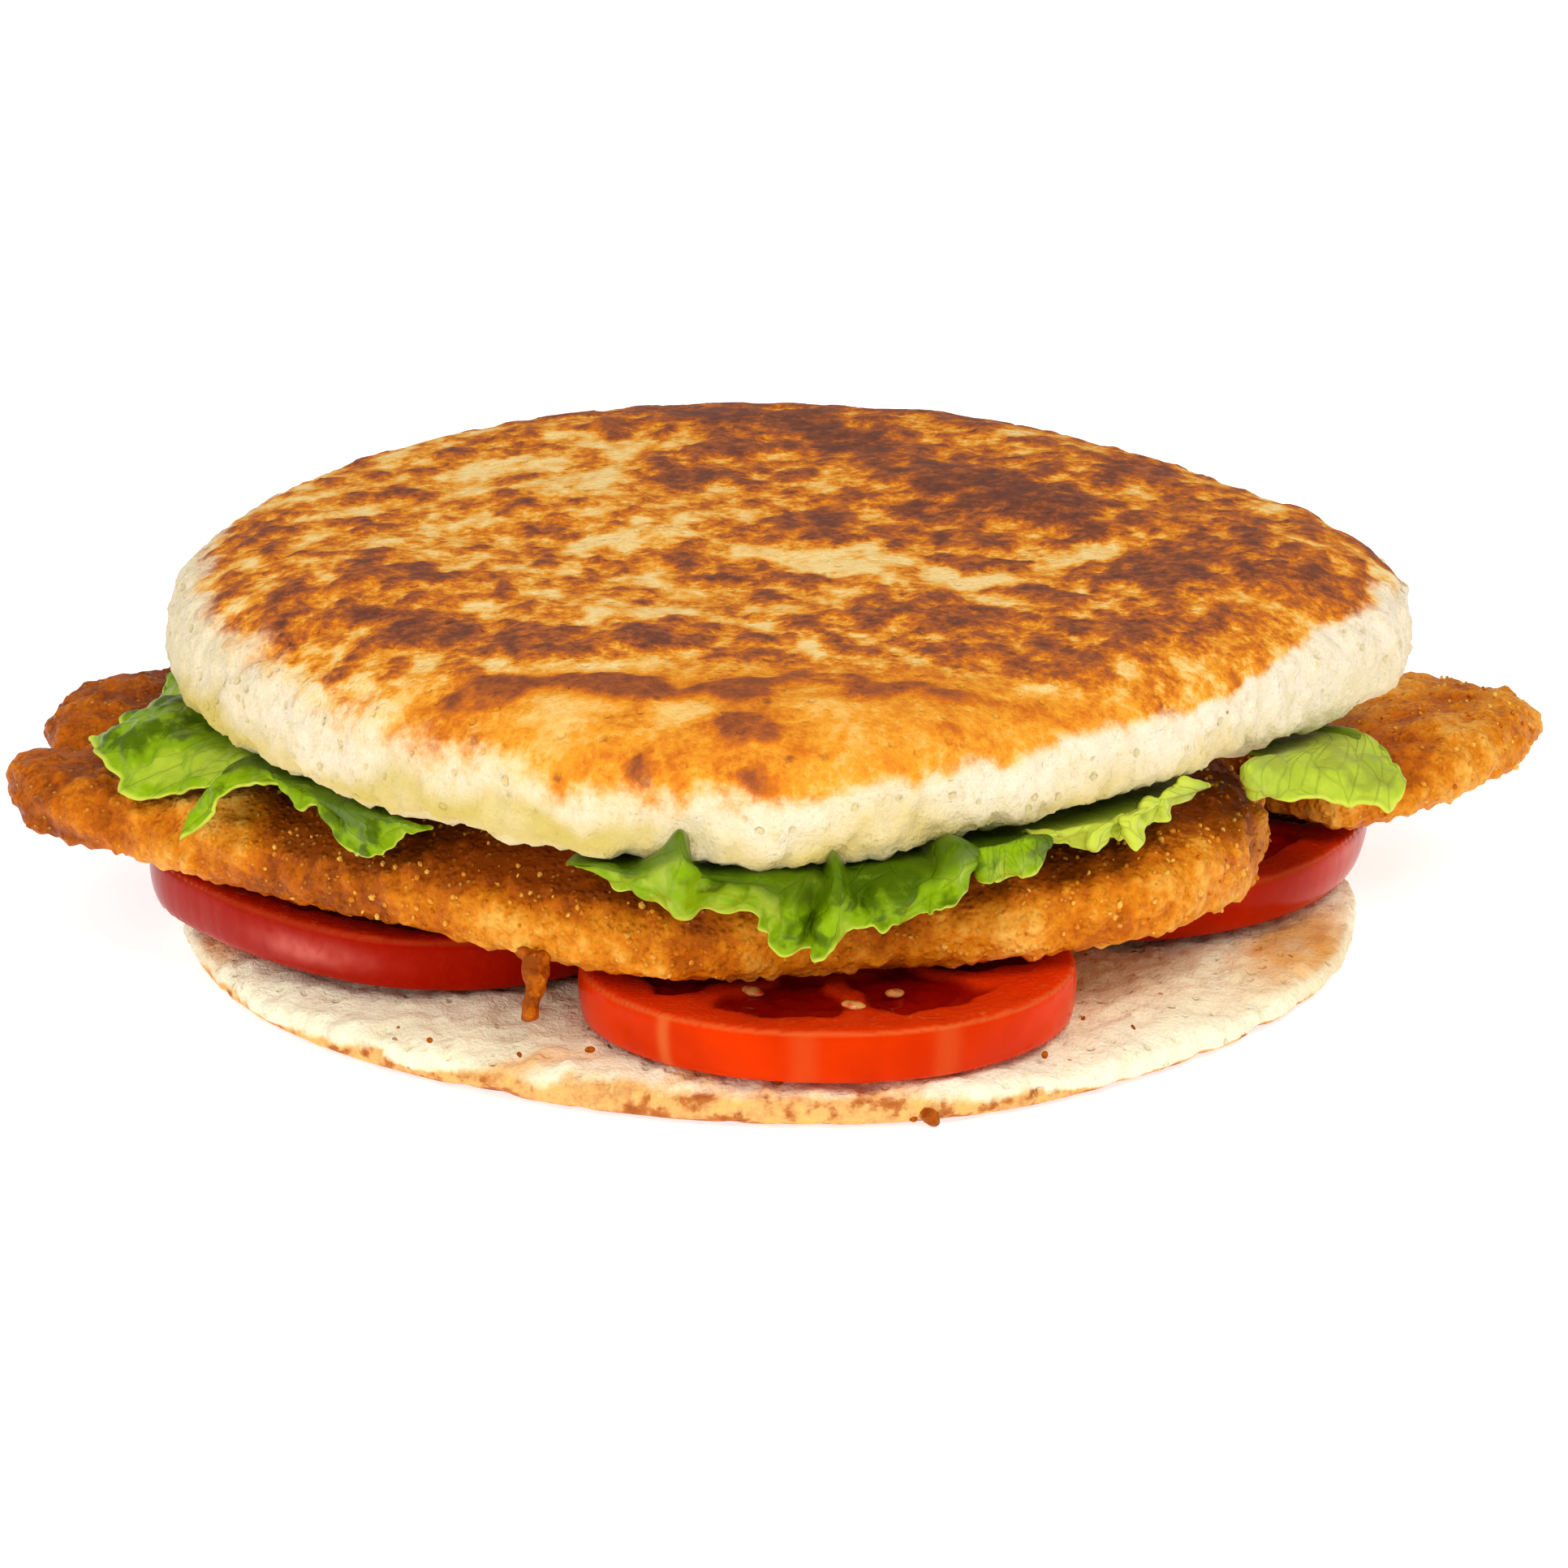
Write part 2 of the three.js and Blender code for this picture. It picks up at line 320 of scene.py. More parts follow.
def scrambled(cells, seed):
    """A repeatable number from 0 to 1 for each whole-numbered cell."""
    mixed = np.full(cells.shape[:-1], (seed * SEED_FACTOR + SEED_SHIFT) % WORD_COUNT, np.uint32)
    for axis, factor in enumerate(AXIS_FACTORS):
        mixed ^= cells[..., axis].astype(np.int64).astype(np.uint32) * np.uint32(factor)
        mixed ^= mixed >> np.uint32(15)
        mixed *= MIX_FACTOR
        mixed ^= mixed >> np.uint32(12)
    mixed *= LAST_FACTOR
    mixed ^= mixed >> np.uint32(15)
    return mixed / float(WORD_COUNT)


def three_scrambled(cells, seed):
    """Three repeatable numbers from 0 to 1 for each cell."""
    return np.stack([scrambled(cells, seed + part) for part in (1, 2, 3)], axis=-1)


CORNERS = [(i, j, k) for i in (0, 1) for j in (0, 1) for k in (0, 1)]
SEED_STEP = 7.3  # how far each seed moves a noise, in bumps
OCTAVE_STEP = 3.7  # how far each finer octave is moved
NOISE_GAIN = 1.6  # brings the noise to about -1 to 1
NEIGHBOURS = [(i, j, k) for i in (-1, 0, 1) for j in (-1, 0, 1) for k in (-1, 0, 1)]


def noise(points, size, seed=0, octaves=1):
    """Smooth gradient noise from about -1 to 1, with bumps of about the given size."""
    total = np.zeros(len(points))
    strength = 1.0
    for octave in range(octaves):
        place = points / size * 2**octave + seed * SEED_STEP + octave * OCTAVE_STEP
        cell = np.floor(place)
        share = place - cell
        fade = share**3 * (share * (share * 6 - 15) + 10)
        for corner in CORNERS:
            at = cell + corner
            slope = three_scrambled(at, seed * 31 + octave * 7) * 2 - 1
            weight = np.prod(np.where(np.array(corner) == 1, fade, 1 - fade), axis=-1)
            total += strength * weight * np.sum(slope * (share - corner), axis=-1) * NOISE_GAIN
        strength *= 0.5
    return total


def nearest_seed(points, size, seed=0):
    """Distance to the nearest scattered seed, as a share of the cell size, and that seed's own number."""
    place = points / size
    cell = np.floor(place)
    best = np.full(len(points), 9.0)
    number = np.zeros(len(points))
    for step in NEIGHBOURS:
        at = cell + step
        spot = at + three_scrambled(at, seed * 17)
        far = np.linalg.norm(spot - place, axis=-1)
        closer = far < best
        best[closer] = far[closer]
        number[closer] = scrambled(at, seed * 17 + 9)[closer]
    return best, number


def drift(points, size, seeds, octaves=1):
    """Noise in three directions, to warp a pattern with."""
    return np.stack([noise(points, size, seed=seed, octaves=octaves) for seed in seeds], axis=-1)


def round_reach(points):
    """Direction in radians and distance of each point from the upright middle axis."""
    return np.arctan2(points[:, 1], points[:, 0]), np.hypot(points[:, 0], points[:, 1])


def hump(values, middle, width):
    """1 at the middle, falling softly to 0 on both sides."""
    return np.exp(-(((values - middle) / width) ** 2))


def rise(values, low, high):
    """Smoothly from 0 at low to 1 at high."""
    share = np.clip((values - low) / (high - low), 0, 1)
    return share * share * (3 - 2 * share)


def round_curve(angles, pairs):
    """A smooth curve through (degrees, value) pairs that closes on itself."""
    degrees = np.array([p[0] for p in pairs], float)
    values = np.array([p[1] for p in pairs], float)
    turned = np.degrees(angles) % 360
    blur = [-12, -6, 0, 6, 12]
    return sum(np.interp((turned + b) % 360, degrees, values, period=360) for b in blur) / len(blur)


def marks(points, rows):
    """Sum of soft oval marks: x, y, half length, half width, turn in degrees, strength."""
    total = np.zeros(len(points))
    for x, y, long, wide, turn, strength in rows:
        angle = math.radians(turn)
        dx = points[:, 0] - x
        dy = points[:, 1] - y
        along = (dx * math.cos(angle) + dy * math.sin(angle)) / long
        across = (dy * math.cos(angle) - dx * math.sin(angle)) / wide
        total += strength * np.exp(-((along**2 + across**2) ** 1.5) * 0.7)
    return total


# ---------- material helpers ----------
class Finish:
    """Builds one material's nodes."""

    def __init__(self, name, roughness=0.6, **sockets):
        self.material = bpy.data.materials.new(name)
        self.material.use_nodes = True
        self.tree = self.material.node_tree
        self.shader = self.tree.nodes["Principled BSDF"]
        self.shader.inputs["Roughness"].default_value = roughness
        for socket, value in sockets.items():
            self.shader.inputs[socket.replace("_", " ")].default_value = value
        self.place = self.add("ShaderNodeTexCoord").outputs["Object"]

    def soften(self, weight, spread, depth):
        """Lets light a few millimetres into the surface, with its spread in red, green and blue."""
        self.shader.inputs["Subsurface Weight"].default_value = weight
        self.shader.inputs["Subsurface Radius"].default_value = spread
        self.shader.inputs["Subsurface Scale"].default_value = depth * MM

    def spots(self, cells, chosen, border):
        """Round spots in the cells whose own number is above the chosen range, with a soft border."""
        shown = self.step(cells.outputs["Color"], *chosen)
        return self.times(self.step(cells.outputs["Distance"], *border), shown)

    def add(self, kind, **values):
        node = self.tree.nodes.new(kind)
        for name, value in values.items():
            setattr(node, name, value)
        return node

    def feed(self, socket, value):
        """Links an output to a socket, or sets the socket to a plain value."""
        if isinstance(value, bpy.types.NodeSocket):
            self.tree.links.new(value, socket)
        elif hasattr(value, "__len__") and len(value) == 3 and socket.type == "RGBA":
            socket.default_value = (*value, 1)
        else:
            socket.default_value = value

    def painted(self, name):
        """A number that paint() stored."""
        return self.add("ShaderNodeAttribute", attribute_name=name).outputs["Fac"]

    def noise(self, size, detail=3.0, roughness=0.55, distortion=0.0):
        """Noise from 0 to 1 with bumps of that size in millimetres."""
        node = self.add("ShaderNodeTexNoise")
        self.feed(node.inputs["Vector"], self.place)
        node.inputs["Scale"].default_value = 1 / (size * MM)
        node.inputs["Detail"].default_value = detail
        node.inputs["Roughness"].default_value = roughness
        node.inputs["Distortion"].default_value = distortion
        return node.outputs["Fac"]

    def cells(self, size):
        """Scattered cells of that size in millimetres, with each cell's own colour and distance."""
        node = self.add("ShaderNodeTexVoronoi")
        self.feed(node.inputs["Vector"], self.place)
        node.inputs["Scale"].default_value = 1 / (size * MM)
        return node

    def sum(self, first, *values):
        for value in values:
            first = self.math("ADD", first, value)
        return first

    def times(self, first, second):
        return self.math("MULTIPLY", first, second)

    def math(self, operation, first, second):
        node = self.add("ShaderNodeMath", operation=operation)
        self.feed(node.inputs[0], first)
        self.feed(node.inputs[1], second)
        return node.outputs[0]

    def step(self, value, low, high, bottom=0.0, top=1.0):
        """Smoothly from bottom at low to top at high."""
        node = self.add("ShaderNodeMapRange", interpolation_type="SMOOTHSTEP")
        self.feed(node.inputs["Value"], value)
        for name, number in (("From Min", low), ("From Max", high), ("To Min", bottom), ("To Max", top)):
            node.inputs[name].default_value = number
        return node.outputs["Result"]

    def ramp(self, value, stops):
        """A colour scale: (place, colour) pairs."""
        node = self.add("ShaderNodeValToRGB")
        self.feed(node.inputs["Fac"], value)
        scale = node.color_ramp
        while len(scale.elements) < len(stops):
            scale.elements.new(0.5)
        for element, (place, shade) in zip(scale.elements, stops):
            element.position = place
            element.color = (*shade, 1)
        return node.outputs["Color"]

    def mix(self, share, first, second):
        """The first colour, or the second where the share is 1."""
        node = self.add("ShaderNodeMix", data_type="RGBA")
        self.feed(node.inputs["Factor"], share)
        colours = [s for s in node.inputs if s.type == "RGBA"]
        self.feed(colours[0], first)
        self.feed(colours[1], second)
        return next(s for s in node.outputs if s.type == "RGBA")

    def bump(self, height, depth, before=None):
        """A bump of the given depth in millimetres."""
        node = self.add("ShaderNodeBump")
        node.inputs["Distance"].default_value = depth * MM
        self.feed(node.inputs["Height"], height)
        if before is not None:
            self.feed(node.inputs["Normal"], before)
        return node.outputs["Normal"]

    def done(self, shade, normal=None, roughness=None):
        """Feeds the shader and gives back the finished material."""
        self.feed(self.shader.inputs["Base Color"], shade)
        if normal is not None:
            self.feed(self.shader.inputs["Normal"], normal)
        if roughness is not None:
            self.feed(self.shader.inputs["Roughness"], roughness)
        return self.material


# ---------- the corn cake ----------
# About the radii in millimetres of the upper half at its fold and of the lower half.
UPPER_RADIUS = 75
LOWER_RADIUS = 74
RIM_EDGES_BEYOND = 60  # edges further out than this belong to a half's rim

# Height in millimetres at which the griddled crust begins on the edge, by direction in degrees.
CRUST_START = [
    (0, 45.8), (20, 43.5), (60, 44), (120, 45), (150, 47), (180, 47.5), (195, 46.6), (208, 46.4),
    (221, 45), (230, 43.4), (238, 41.4), (250, 40.8), (268, 41.2), (285, 42.4), (302, 43.6),
    (325, 45.2), (345, 46.6),
]
# Width in millimetres of the soft border there.
CRUST_SOFTNESS = [
    (0, 1.2), (40, 1.6), (130, 1.8), (170, 2), (205, 3), (235, 4.5), (255, 3), (275, 1.6), (320, 1.2),
]

# How far the griddle browned the upper half, as marks() reads it.
BROAD_BROWNING = [
    (15, 38, 28, 8, -52, 0.5), (33, 14, 16, 8, -62, 0.5), (-2, 56, 11, 4, 0, 0.4),
    (-3, 34, 14, 16, 0, 0.16), (52, 38, 22, 26, -20, 0.18), (58, -4, 15, 15, 0, 0.2),
    (0, 66, 66, 10, 0, 0.22), (62, -22, 14, 14, 40, 0.16), (-15, -44, 17, 6, 6, 0.42),
    (-40, -36, 16, 5, -28, 0.36), (-57, -28, 8, 5, 0, 0.26), (-42, -19, 18, 6, -4, 0.3),
    (30, -38, 24, 14, 12, 0.14), (-4, -18, 12, 8, 0, 0.14), (10, 6, 12, 8, 0, 0.1),
    (0, -70, 56, 8, 0, -0.1), (-64, 14, 5, 34, 0, 0.06), (-50, 12, 14, 30, 0, -0.06),
    (-36, 30, 22, 22, 0, -0.14), (-17, 1, 9, 4, -10, -0.5), (4, -7, 9, 4, -15, -0.45),
    (38, -4, 8, 4, 0, -0.6), (22, -18, 12, 4, -10, -0.4), (-14, -31, 9, 6, 0, -0.4),
    (-28, -55, 20, 4, -6, -0.5), (-50, -46, 10, 4, -40, -0.3),
]
# Smaller darker spots, in the same way.
DARK_SPOTS = [
    (-17, -68, 7, 4, 0, 0.22), (8, -70, 9, 4, 0, 0.16), (-30, -67, 4, 4, 0, 0.12),
    (30, -46, 9, 5, 0, 0.26), (24, -3, 8, 6, 0, 0.3), (66, -16, 7, 6, 0, 0.3), (72, 14, 4, 9, 0, 0.3),
    (-28, 3, 3, 5, 0, 0.34), (-13, 18, 3.5, 10, 0, 0.3), (5, 7, 5, 5, 0, 0.26),
    (-3, -14, 7, 5, 0, 0.26), (30, -12, 6, 4, 0, 0.26), (-33, 44, 9, 5, 0, 0.26),
    (-50, 25, 4, 4, 0, 0.22), (-60, -1, 4, 4, 0, 0.2), (22, -32, 6, 4, 0, 0.24),
    (-26, -32, 5, 6, 0, 0.2), (48, -14, 6, 5, 0, 0.2),
]
# Golden patches near the front border, in the same way.
FRONT_BLOTS = [
    (-30, -58, 6, 4, 0, 0.75), (-15, -60, 7, 4, 0, 0.85), (-2, -61, 5, 4, 0, 0.6),
    (-4, -70, 5, 3.5, 0, 0.8), (12, -60, 14, 5, 0, 0.3), (-38, -55, 5, 3, -20, 0.2),
    (-10, -67, 4, 3, 0, -0.6), (-22, -66, 5, 4, 0, -0.3), (10, -70, 8, 3, 0, -0.3),
]
# Directions in degrees, anticlockwise from the right as seen from above.
DAMP_AND_SHADED_SIDE = 215  # where the upper half's pale edge is dampest and painted shade lies on it
FOLD_SIDE = 207  # the fold at the upper half's left
FOLD_HEIGHT = 44  # height in millimetres at which the fold has that direction
LIP_SIDE = 272  # where the upper half's lower rim hangs lowest
NOSE_SIDE = 288  # where the lower half bulges


def half_blank(name, node, edge_bevel):
    """A disc the size of one half of the cake, with bevelled rims."""
    low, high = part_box(node)
    middle = (low + high) / 2
    size = high - low
    bpy.ops.object.select_all(action="DESELECT")
    bpy.ops.mesh.primitive_cylinder_add(
        vertices=96, radius=0.5, depth=1, end_fill_type="TRIFAN", location=middle, scale=size
    )
    piece = added(name)

    def is_rim(a, b):
        return abs(a.z - b.z) < MM and min(a.xy.length, b.xy.length) > RIM_EDGES_BEYOND * MM

    choose_edges(piece, is_rim)
    bpy.ops.mesh.bevel(offset=edge_bevel * MM, segments=5, profile=0.5, affect="EDGES")
    bpy.ops.object.mode_set(mode="OBJECT")
    return piece


def fitted_to(piece, node, rough, fine, rounds):
    """Draws a blank onto a frame node and gives it a fine, even skin."""
    even_skin(piece, rough * MM)
    finish_with(piece, "SHRINKWRAP", target=frame["nodes"][node], wrap_method="NEAREST_SURFACEPOINT")
    finish_with(piece, "SMOOTH", factor=0.5, iterations=rounds)
    even_skin(piece, fine)
    finish_with(piece, "SMOOTH", factor=0.5, iterations=4)


def crust_depth(points, start, softness):
    """How far inside the crust's border each point lies: below 0 is pale crumb, above 1 is full crust."""
    angle, radius = round_reach(points)
    inward = np.maximum(72 - radius, 0) * 0.5
    wobble = noise(points, 9, seed=21, octaves=3) * 1.6
    height = points[:, 2] - round_curve(angle, start) + inward
    return np.clip((height + wobble) / round_curve(angle, softness), -6, 6)


def lid_browning(points):
    """Browning of the crust: below 0.2 is cream, 0.5 well toasted, above 0.8 scorched."""
    warp = drift(points, 9, (31, 32, 33), octaves=3)
    level = marks(points + warp * 4, BROAD_BROWNING) + marks(points + warp * 2, DARK_SPOTS)
    grain = noise(points * (1, 0.8, 1) + warp, 4.6, seed=41, octaves=4)
    clump = noise(points, 11, seed=46, octaves=2)
    near = rise(-points[:, 1] + grain * 4 + clump * 2, 50, 58)
    height = grain * 0.8 + clump * 0.45 + level * 1.5
    toasted = rise(height, -0.75, 0.3)
    dark = rise(height, 0.1, 0.5)
    scorched = rise(height, 0.45, 1.1)
    browned = 0.15 + 0.34 * toasted + 0.19 * dark + 0.18 * scorched

    # the near border only caught the griddle in soft golden patches with darker cores
    blot = noise(points * (1, 1.3, 1) + warp * 0.5, 10, seed=47, octaves=3)
    blot += marks(points + warp, FRONT_BLOTS) * 1.6
    blot += 0.25 + 0.25 * rise(points[:, 0], -5, 20)
    soft = 0.25 + 0.08 * rise(blot, -0.4, 0.05) + 0.09 * rise(blot, 0.1, 0.6) + 0.3 * rise(blot, 0.75, 1.2)
    browned += (soft - browned) * near

    # a golden rim along the near right edge
    _, radius = round_reach(points)
    rim = rise(radius, 62, 69) * rise(-points[:, 1], 5, 25) * rise(points[:, 0], -5, 15)
    return browned + (0.35 + 0.05 * grain - browned) * rim * 0.75


def lid_relief(points, settings, crust, side, under, brown):
    """Outward push of the upper half's skin: swells and blisters of the crust, holes of the crumb."""
    push = noise(points, 28, seed=1) * settings.swell / MM * crust
    push += noise(points, 10, seed=2, octaves=2) * (0.35 * crust + 0.2 * side)
    push += rise(brown, 0.42, 0.7) * crust * settings.blister / MM
    push += noise(points, 1.9, seed=3) * 0.09 * crust
    push += noise(points, 2.4, seed=4, octaves=3) * settings.crumble / MM * (side + 0.9 * under)
    hole, size = nearest_seed(points, 3.2, seed=5)
    return push - np.where(size > 0.6, rise(0.32 - hole, 0, 0.2), 0) * (0.6 * side + 1.3 * under)


def lid_fold(points, degrees, radius):
    """Outward push of the fold at the left and of the pale lump beside it."""
    fold_at = FOLD_SIDE + (points[:, 2] - FOLD_HEIGHT) * 0.9
    across = (degrees - fold_at) * math.radians(1) * UPPER_RADIUS
    tall = rise(points[:, 2], 37, 41) * rise(51 - points[:, 2], 0, 4) * (radius > 55)
    return hump(across, 5, 4) * 0.35 * tall * (points[:, 2] < 46) - hump(across, 0, 0.9) * 1.1 * tall


def lid_damp_and_shade(points, angle, low, under):
    """How yellow the pale crumb is: damp most above the cut, with painted shade on the left side."""
    # Painted shade: the pale edge is yellower and darker on its left.
    shaded = rise(np.cos(angle - math.radians(DAMP_AND_SHADED_SIDE)), -0.35, 0.75)
    facing = 0.3 + 0.7 * rise(np.cos(angle - math.radians(DAMP_AND_SHADED_SIDE + 25)), -0.3, 0.7)
    damp = shaded * 0.2 + rise(low + 8 - points[:, 2] + noise(points, 11, seed=8) * 4, 0, 6) * facing
    return np.clip(damp, 0, 1) * (1 - 0.4 * under)


def shape_lid(piece, settings):
    """Gives the upper half its relief, its fold and its ragged lower rim, and paints it."""
    points = points_of(piece)
    normals = normals_of(piece)
    angle, radius = round_reach(points)
    degrees = np.degrees(angle) % 360
    depth = crust_depth(points, CRUST_START, CRUST_SOFTNESS)
    crust = rise(depth, -0.5, 1.5)
    brown = lid_browning(points)
    low = points[:, 2].min()
    under = rise(-normals[:, 2], 0.6, 0.95) * (points[:, 2] < low + 3)
    side = (1 - crust) * (1 - under)
    push = lid_relief(points, settings, crust, side, under, brown) + lid_fold(points, degrees, radius)
    moved = points + normals * push[:, None]

    # a more upright wall above the cut
    upright = rise(radius, 64, 71) * rise(low + 8 - points[:, 2], 0, 7)
    moved[:, :2] *= (1 + settings.wall / MM / UPPER_RADIUS * upright)[:, None]

    # a ragged lower rim that hangs down a little in front
    rim = rise(radius, 58, 68) * rise(low + 7 - points[:, 2], 0, 6)
    ragged = noise(points, 5, seed=6, octaves=3) * 0.8 + noise(points, 13, seed=7) * 0.5
    bulge = 1.2 * hump(degrees, LIP_SIDE, 14)
    moved[:, 2] -= rim * (bulge + np.maximum(ragged, -0.6))
    place_points(piece, moved)

    paint(piece, "crust", depth)
    paint(piece, "toast", brown)
    paint(piece, "lace", 1 - 0.5 * rise(-moved[:, 1], 50, 59))
    # Damp crumb above the cut, and painted shade on the left side.
    paint(piece, "damp_and_shade", lid_damp_and_shade(points, angle, low, under))


# Height in millimetres at which the lower half's toasted foot ends, by direction in degrees.
BASE_TOAST_TOP = [
    (0, 0.3), (60, 1), (120, 1.2), (180, 1), (205, 0.6), (211, 3.2), (217, 3.4), (221, 0.9), (229, 1),
    (236, 2.4), (243, 4.4), (250, 3.8), (260, 4.7), (275, 4.6), (284, 4), (292, 3), (300, 1.2),
    (320, 0.3),
]
# Crumb stained by the filling, as marks() reads it.
BASE_STAINS = [
    (-30, -66, 7, 3, 8, 0.8), (36, -50, 16, 6, 40, 0.3), (66, -24, 5, 15, -24, 1.2),
    (-71, -24, 2.5, 6, 0, 0.8), (60, 30, 10, 20, 0, 0.4), (-60, 35, 14, 10, 0, 0.3),
]


def shape_base(piece, settings):
    """Gives the lower half its crumbly cut face and toasted foot."""
    points = points_of(piece)
    normals = normals_of(piece)
    angle, radius = round_reach(points)
    foot = round_curve(angle, BASE_TOAST_TOP)
    wobble = noise(points, 8, seed=51, octaves=3) * 1.1
    under = rise(-normals[:, 2], 0.5, 0.9)
    depth = (foot + wobble - points[:, 2]) / 0.8 + under * 3
    above = rise(points[:, 2], 0.6, 2.5)

    push = noise(points, 12, seed=52, octaves=2) * 0.5 * above
    push += noise(points, 2.6, seed=53, octaves=3) * settings.crumble / MM * above
    hole, size = nearest_seed(points, 4.6, seed=54)
    push -= np.where(size > 0.5, rise(0.28 - hole, 0, 0.15), 0) * 0.4 * above
    moved = points + normals * push[:, None]
    edge = rise(radius, 66, 73)
    nose = hump(np.degrees(angle) % 360, NOSE_SIDE, 16) * settings.nose / MM * rise(radius, 50, 72)
    flare = rise(3 - points[:, 2], 0, 2.5) * settings.flare / MM * edge
    moved[:, :2] *= (1 + (nose + flare) / LOWER_RADIUS)[:, None]
    moved[:, 2] += edge * above * noise(points, 17, seed=55) * 0.5
    moved[:, 2] += edge * (1 - above) * np.maximum(noise(points, 7, seed=56, octaves=2), 0) * 0.7
    moved[:, 2] = np.maximum(moved[:, 2], 0)
    place_points(piece, moved)

    warp = drift(points, 12, (57, 58, 59)) * 3
    flecks = rise(noise(points, 2.6, seed=60, octaves=3), 0.05, 0.5)
    paint(piece, "crust", np.clip(depth, -6, 6))
    paint(piece, "toast", np.clip(0.33 + flecks * 0.18 + rise(1.2 - points[:, 2], 0, 1.2) * 0.25, 0, 1))
    paint(piece, "lace", np.full(len(points), 0.6))
    top = rise(normals[:, 2], 0.5, 0.95)
    paint(piece, "damp_and_shade", np.clip(marks(points + warp, BASE_STAINS) * (0.35 + 0.65 * top), 0, 1))


def crust_colour(finish, settings, browned, gold, orange, pitting):
    """Cream to scorched crust by how browned it is, with small dark dots."""
    crust = finish.ramp(
        browned,
        [
            (0.0, settings.cream), (0.14, settings.cream), (0.24, settings.glow), (0.34, gold),
            (0.48, orange), (0.64, settings.brown), (0.82, settings.dark), (1.0, settings.scorch),
        ],
    )
    dots = finish.spots(finish.cells(3.4), (0.6, 0.68), (0.26, 0.12))
    dots = finish.times(dots, finish.step(browned, 0.3, 0.5, 0, 0.65 * pitting))
    return finish.mix(dots, crust, settings.scorch)


def crumb_colour(finish, settings, small, fine, pits, pale, stain, pitting):
    """Pale crumb with damp patches, painted shade on the lid's left and in the pits, and a few brown
    specks.
    """
    patches = finish.noise(16, detail=3)
    damp_and_shade = finish.times(finish.painted("damp_and_shade"), finish.step(patches, 0.25, 0.65, 0.35, 1))
    crumb = finish.mix(damp_and_shade, pale, stain)
    crumb = finish.mix(finish.step(small, 0.4, 0.75, 0, 0.3 * pitting), crumb, settings.crumb_shade)
    crumb = finish.mix(finish.step(fine, 0.56, 0.7, 0, 0.45 * pitting), crumb, settings.crumb_shade)
    # Painted shade in the pits, which the bump also sinks.
    crumb = finish.mix(finish.times(pits, 0.5 * pitting), crumb, settings.crumb_shade)
    specks = finish.math("LESS_THAN", finish.cells(6.5).outputs["Distance"], 0.055)
    return finish.mix(finish.times(specks, 0.75), crumb, settings.brown)


def cake_finish(name, settings, pale, stain, gold, orange, pitting):
    """Griddled crust over pale, moist corn crumb."""
    finish = Finish(name, roughness=0.6, Specular_IOR_Level=0.1, Specular_Tint=(1, 0.8, 0.5, 1))
    finish.soften(0.12, (1, 0.7, 0.35), 2)
    fine = finish.noise(1.1, detail=4, roughness=0.65)
    small = finish.noise(3.2, detail=5, roughness=0.68)
    grain = finish.noise(0.55, detail=2)
    inside = finish.sum(finish.painted("crust"), finish.step(small, 0.2, 0.8, -0.45, 0.45))
    share = finish.step(inside, -0.7, 0.9)
    lace = finish.sum(finish.step(fine, 0.3, 0.7, -0.1, 0.1), finish.step(small, 0.34, 0.66, -0.13, 0.13))
    lace = finish.times(lace, finish.painted("lace"))
    lace = finish.times(lace, finish.step(finish.painted("toast"), 0.2, 0.5, 0.5, 1.1))
    browning = finish.sum(finish.painted("toast"), lace)
    browned = finish.times(browning, finish.step(inside, -0.4, 1.2, 0.7, 1))
    crust = crust_colour(finish, settings, browned, gold, orange, pitting)
    # Pits: sunk in the relief and given painted shade in the crumb colour.
    pits = finish.spots(finish.cells(2.3), (0.5, 0.6), (0.3, 0.12))
    crumb = crumb_colour(finish, settings, small, fine, pits, pale, stain, pitting)
    pores = finish.step(finish.cells(1.5).outputs["Distance"], 0.0, 0.35)
    relief = finish.sum(finish.times(small, 0.5), finish.times(fine, 0.4), finish.times(pores, 0.12))
    relief = finish.sum(relief, finish.times(pits, -0.35))
    rough = finish.step(browned, 0.3, 0.9, 0.66, 0.5)
    rough = finish.sum(finish.mix(share, (0.2, 0.2, 0.2), (0.0, 0.0, 0.0)), rough)
    normal = finish.bump(grain, 0.14, finish.bump(relief, 0.75))
    return finish.done(finish.mix(share, crumb, crust), normal, rough)


def make_lid(settings):
    """The griddled upper half."""
    piece = half_blank("corn_cake_lid", "arepa_top", 5)
    fitted_to(piece, "arepa_top", 1.4, settings.skin, 4)
    shape_lid(piece, settings)
    smooth_shaded(piece)
    crust = (settings.gold, settings.orange)
    finish = cake_finish("griddled_corn_cake", settings, settings.crumb, settings.crumb_shade, *crust, 1)
    complete(piece, finish, "griddled_crust", "arepa_top")


def make_base(settings):
    """The cut lower half."""
    piece = half_blank("corn_cake_base", "arepa_bottom", 2)
    fitted_to(piece, "arepa_bottom", 1.2, settings.skin, 4)
    shape_base(piece, settings)
    smooth_shaded(piece)
    foot = (settings.foot_pale, settings.foot_dark)
    finish = cake_finish("cut_corn_cake", settings, settings.cut, settings.stain, *foot, 0.45)
    complete(piece, finish, "corn_crumb", "arepa_bottom")


# ---------- tomato slices ----------
# Name: gel pockets, their turn in degrees, share of deep red in the skin (and, as painted shade, in the
# cut flesh), how much wider the top is than the underside in millimetres, and the painted sheen, a pale
# pinkish reflection painted on the skin: its direction and half width in degrees and its height as a
# share of the slice's.
SLICES = {
    "front": (6, 12, 0, 0.5, (300, 10, 0.5)),
    "left": (5, 40, 0.9, 0.6, (246, 13, 0.5)),
    "right": (6, 75, 0.6, 1.4, (339, 12, 0.85)),
    "back": (5, 20, 0.3, 0.4, (90, 20, 0.5)),
}
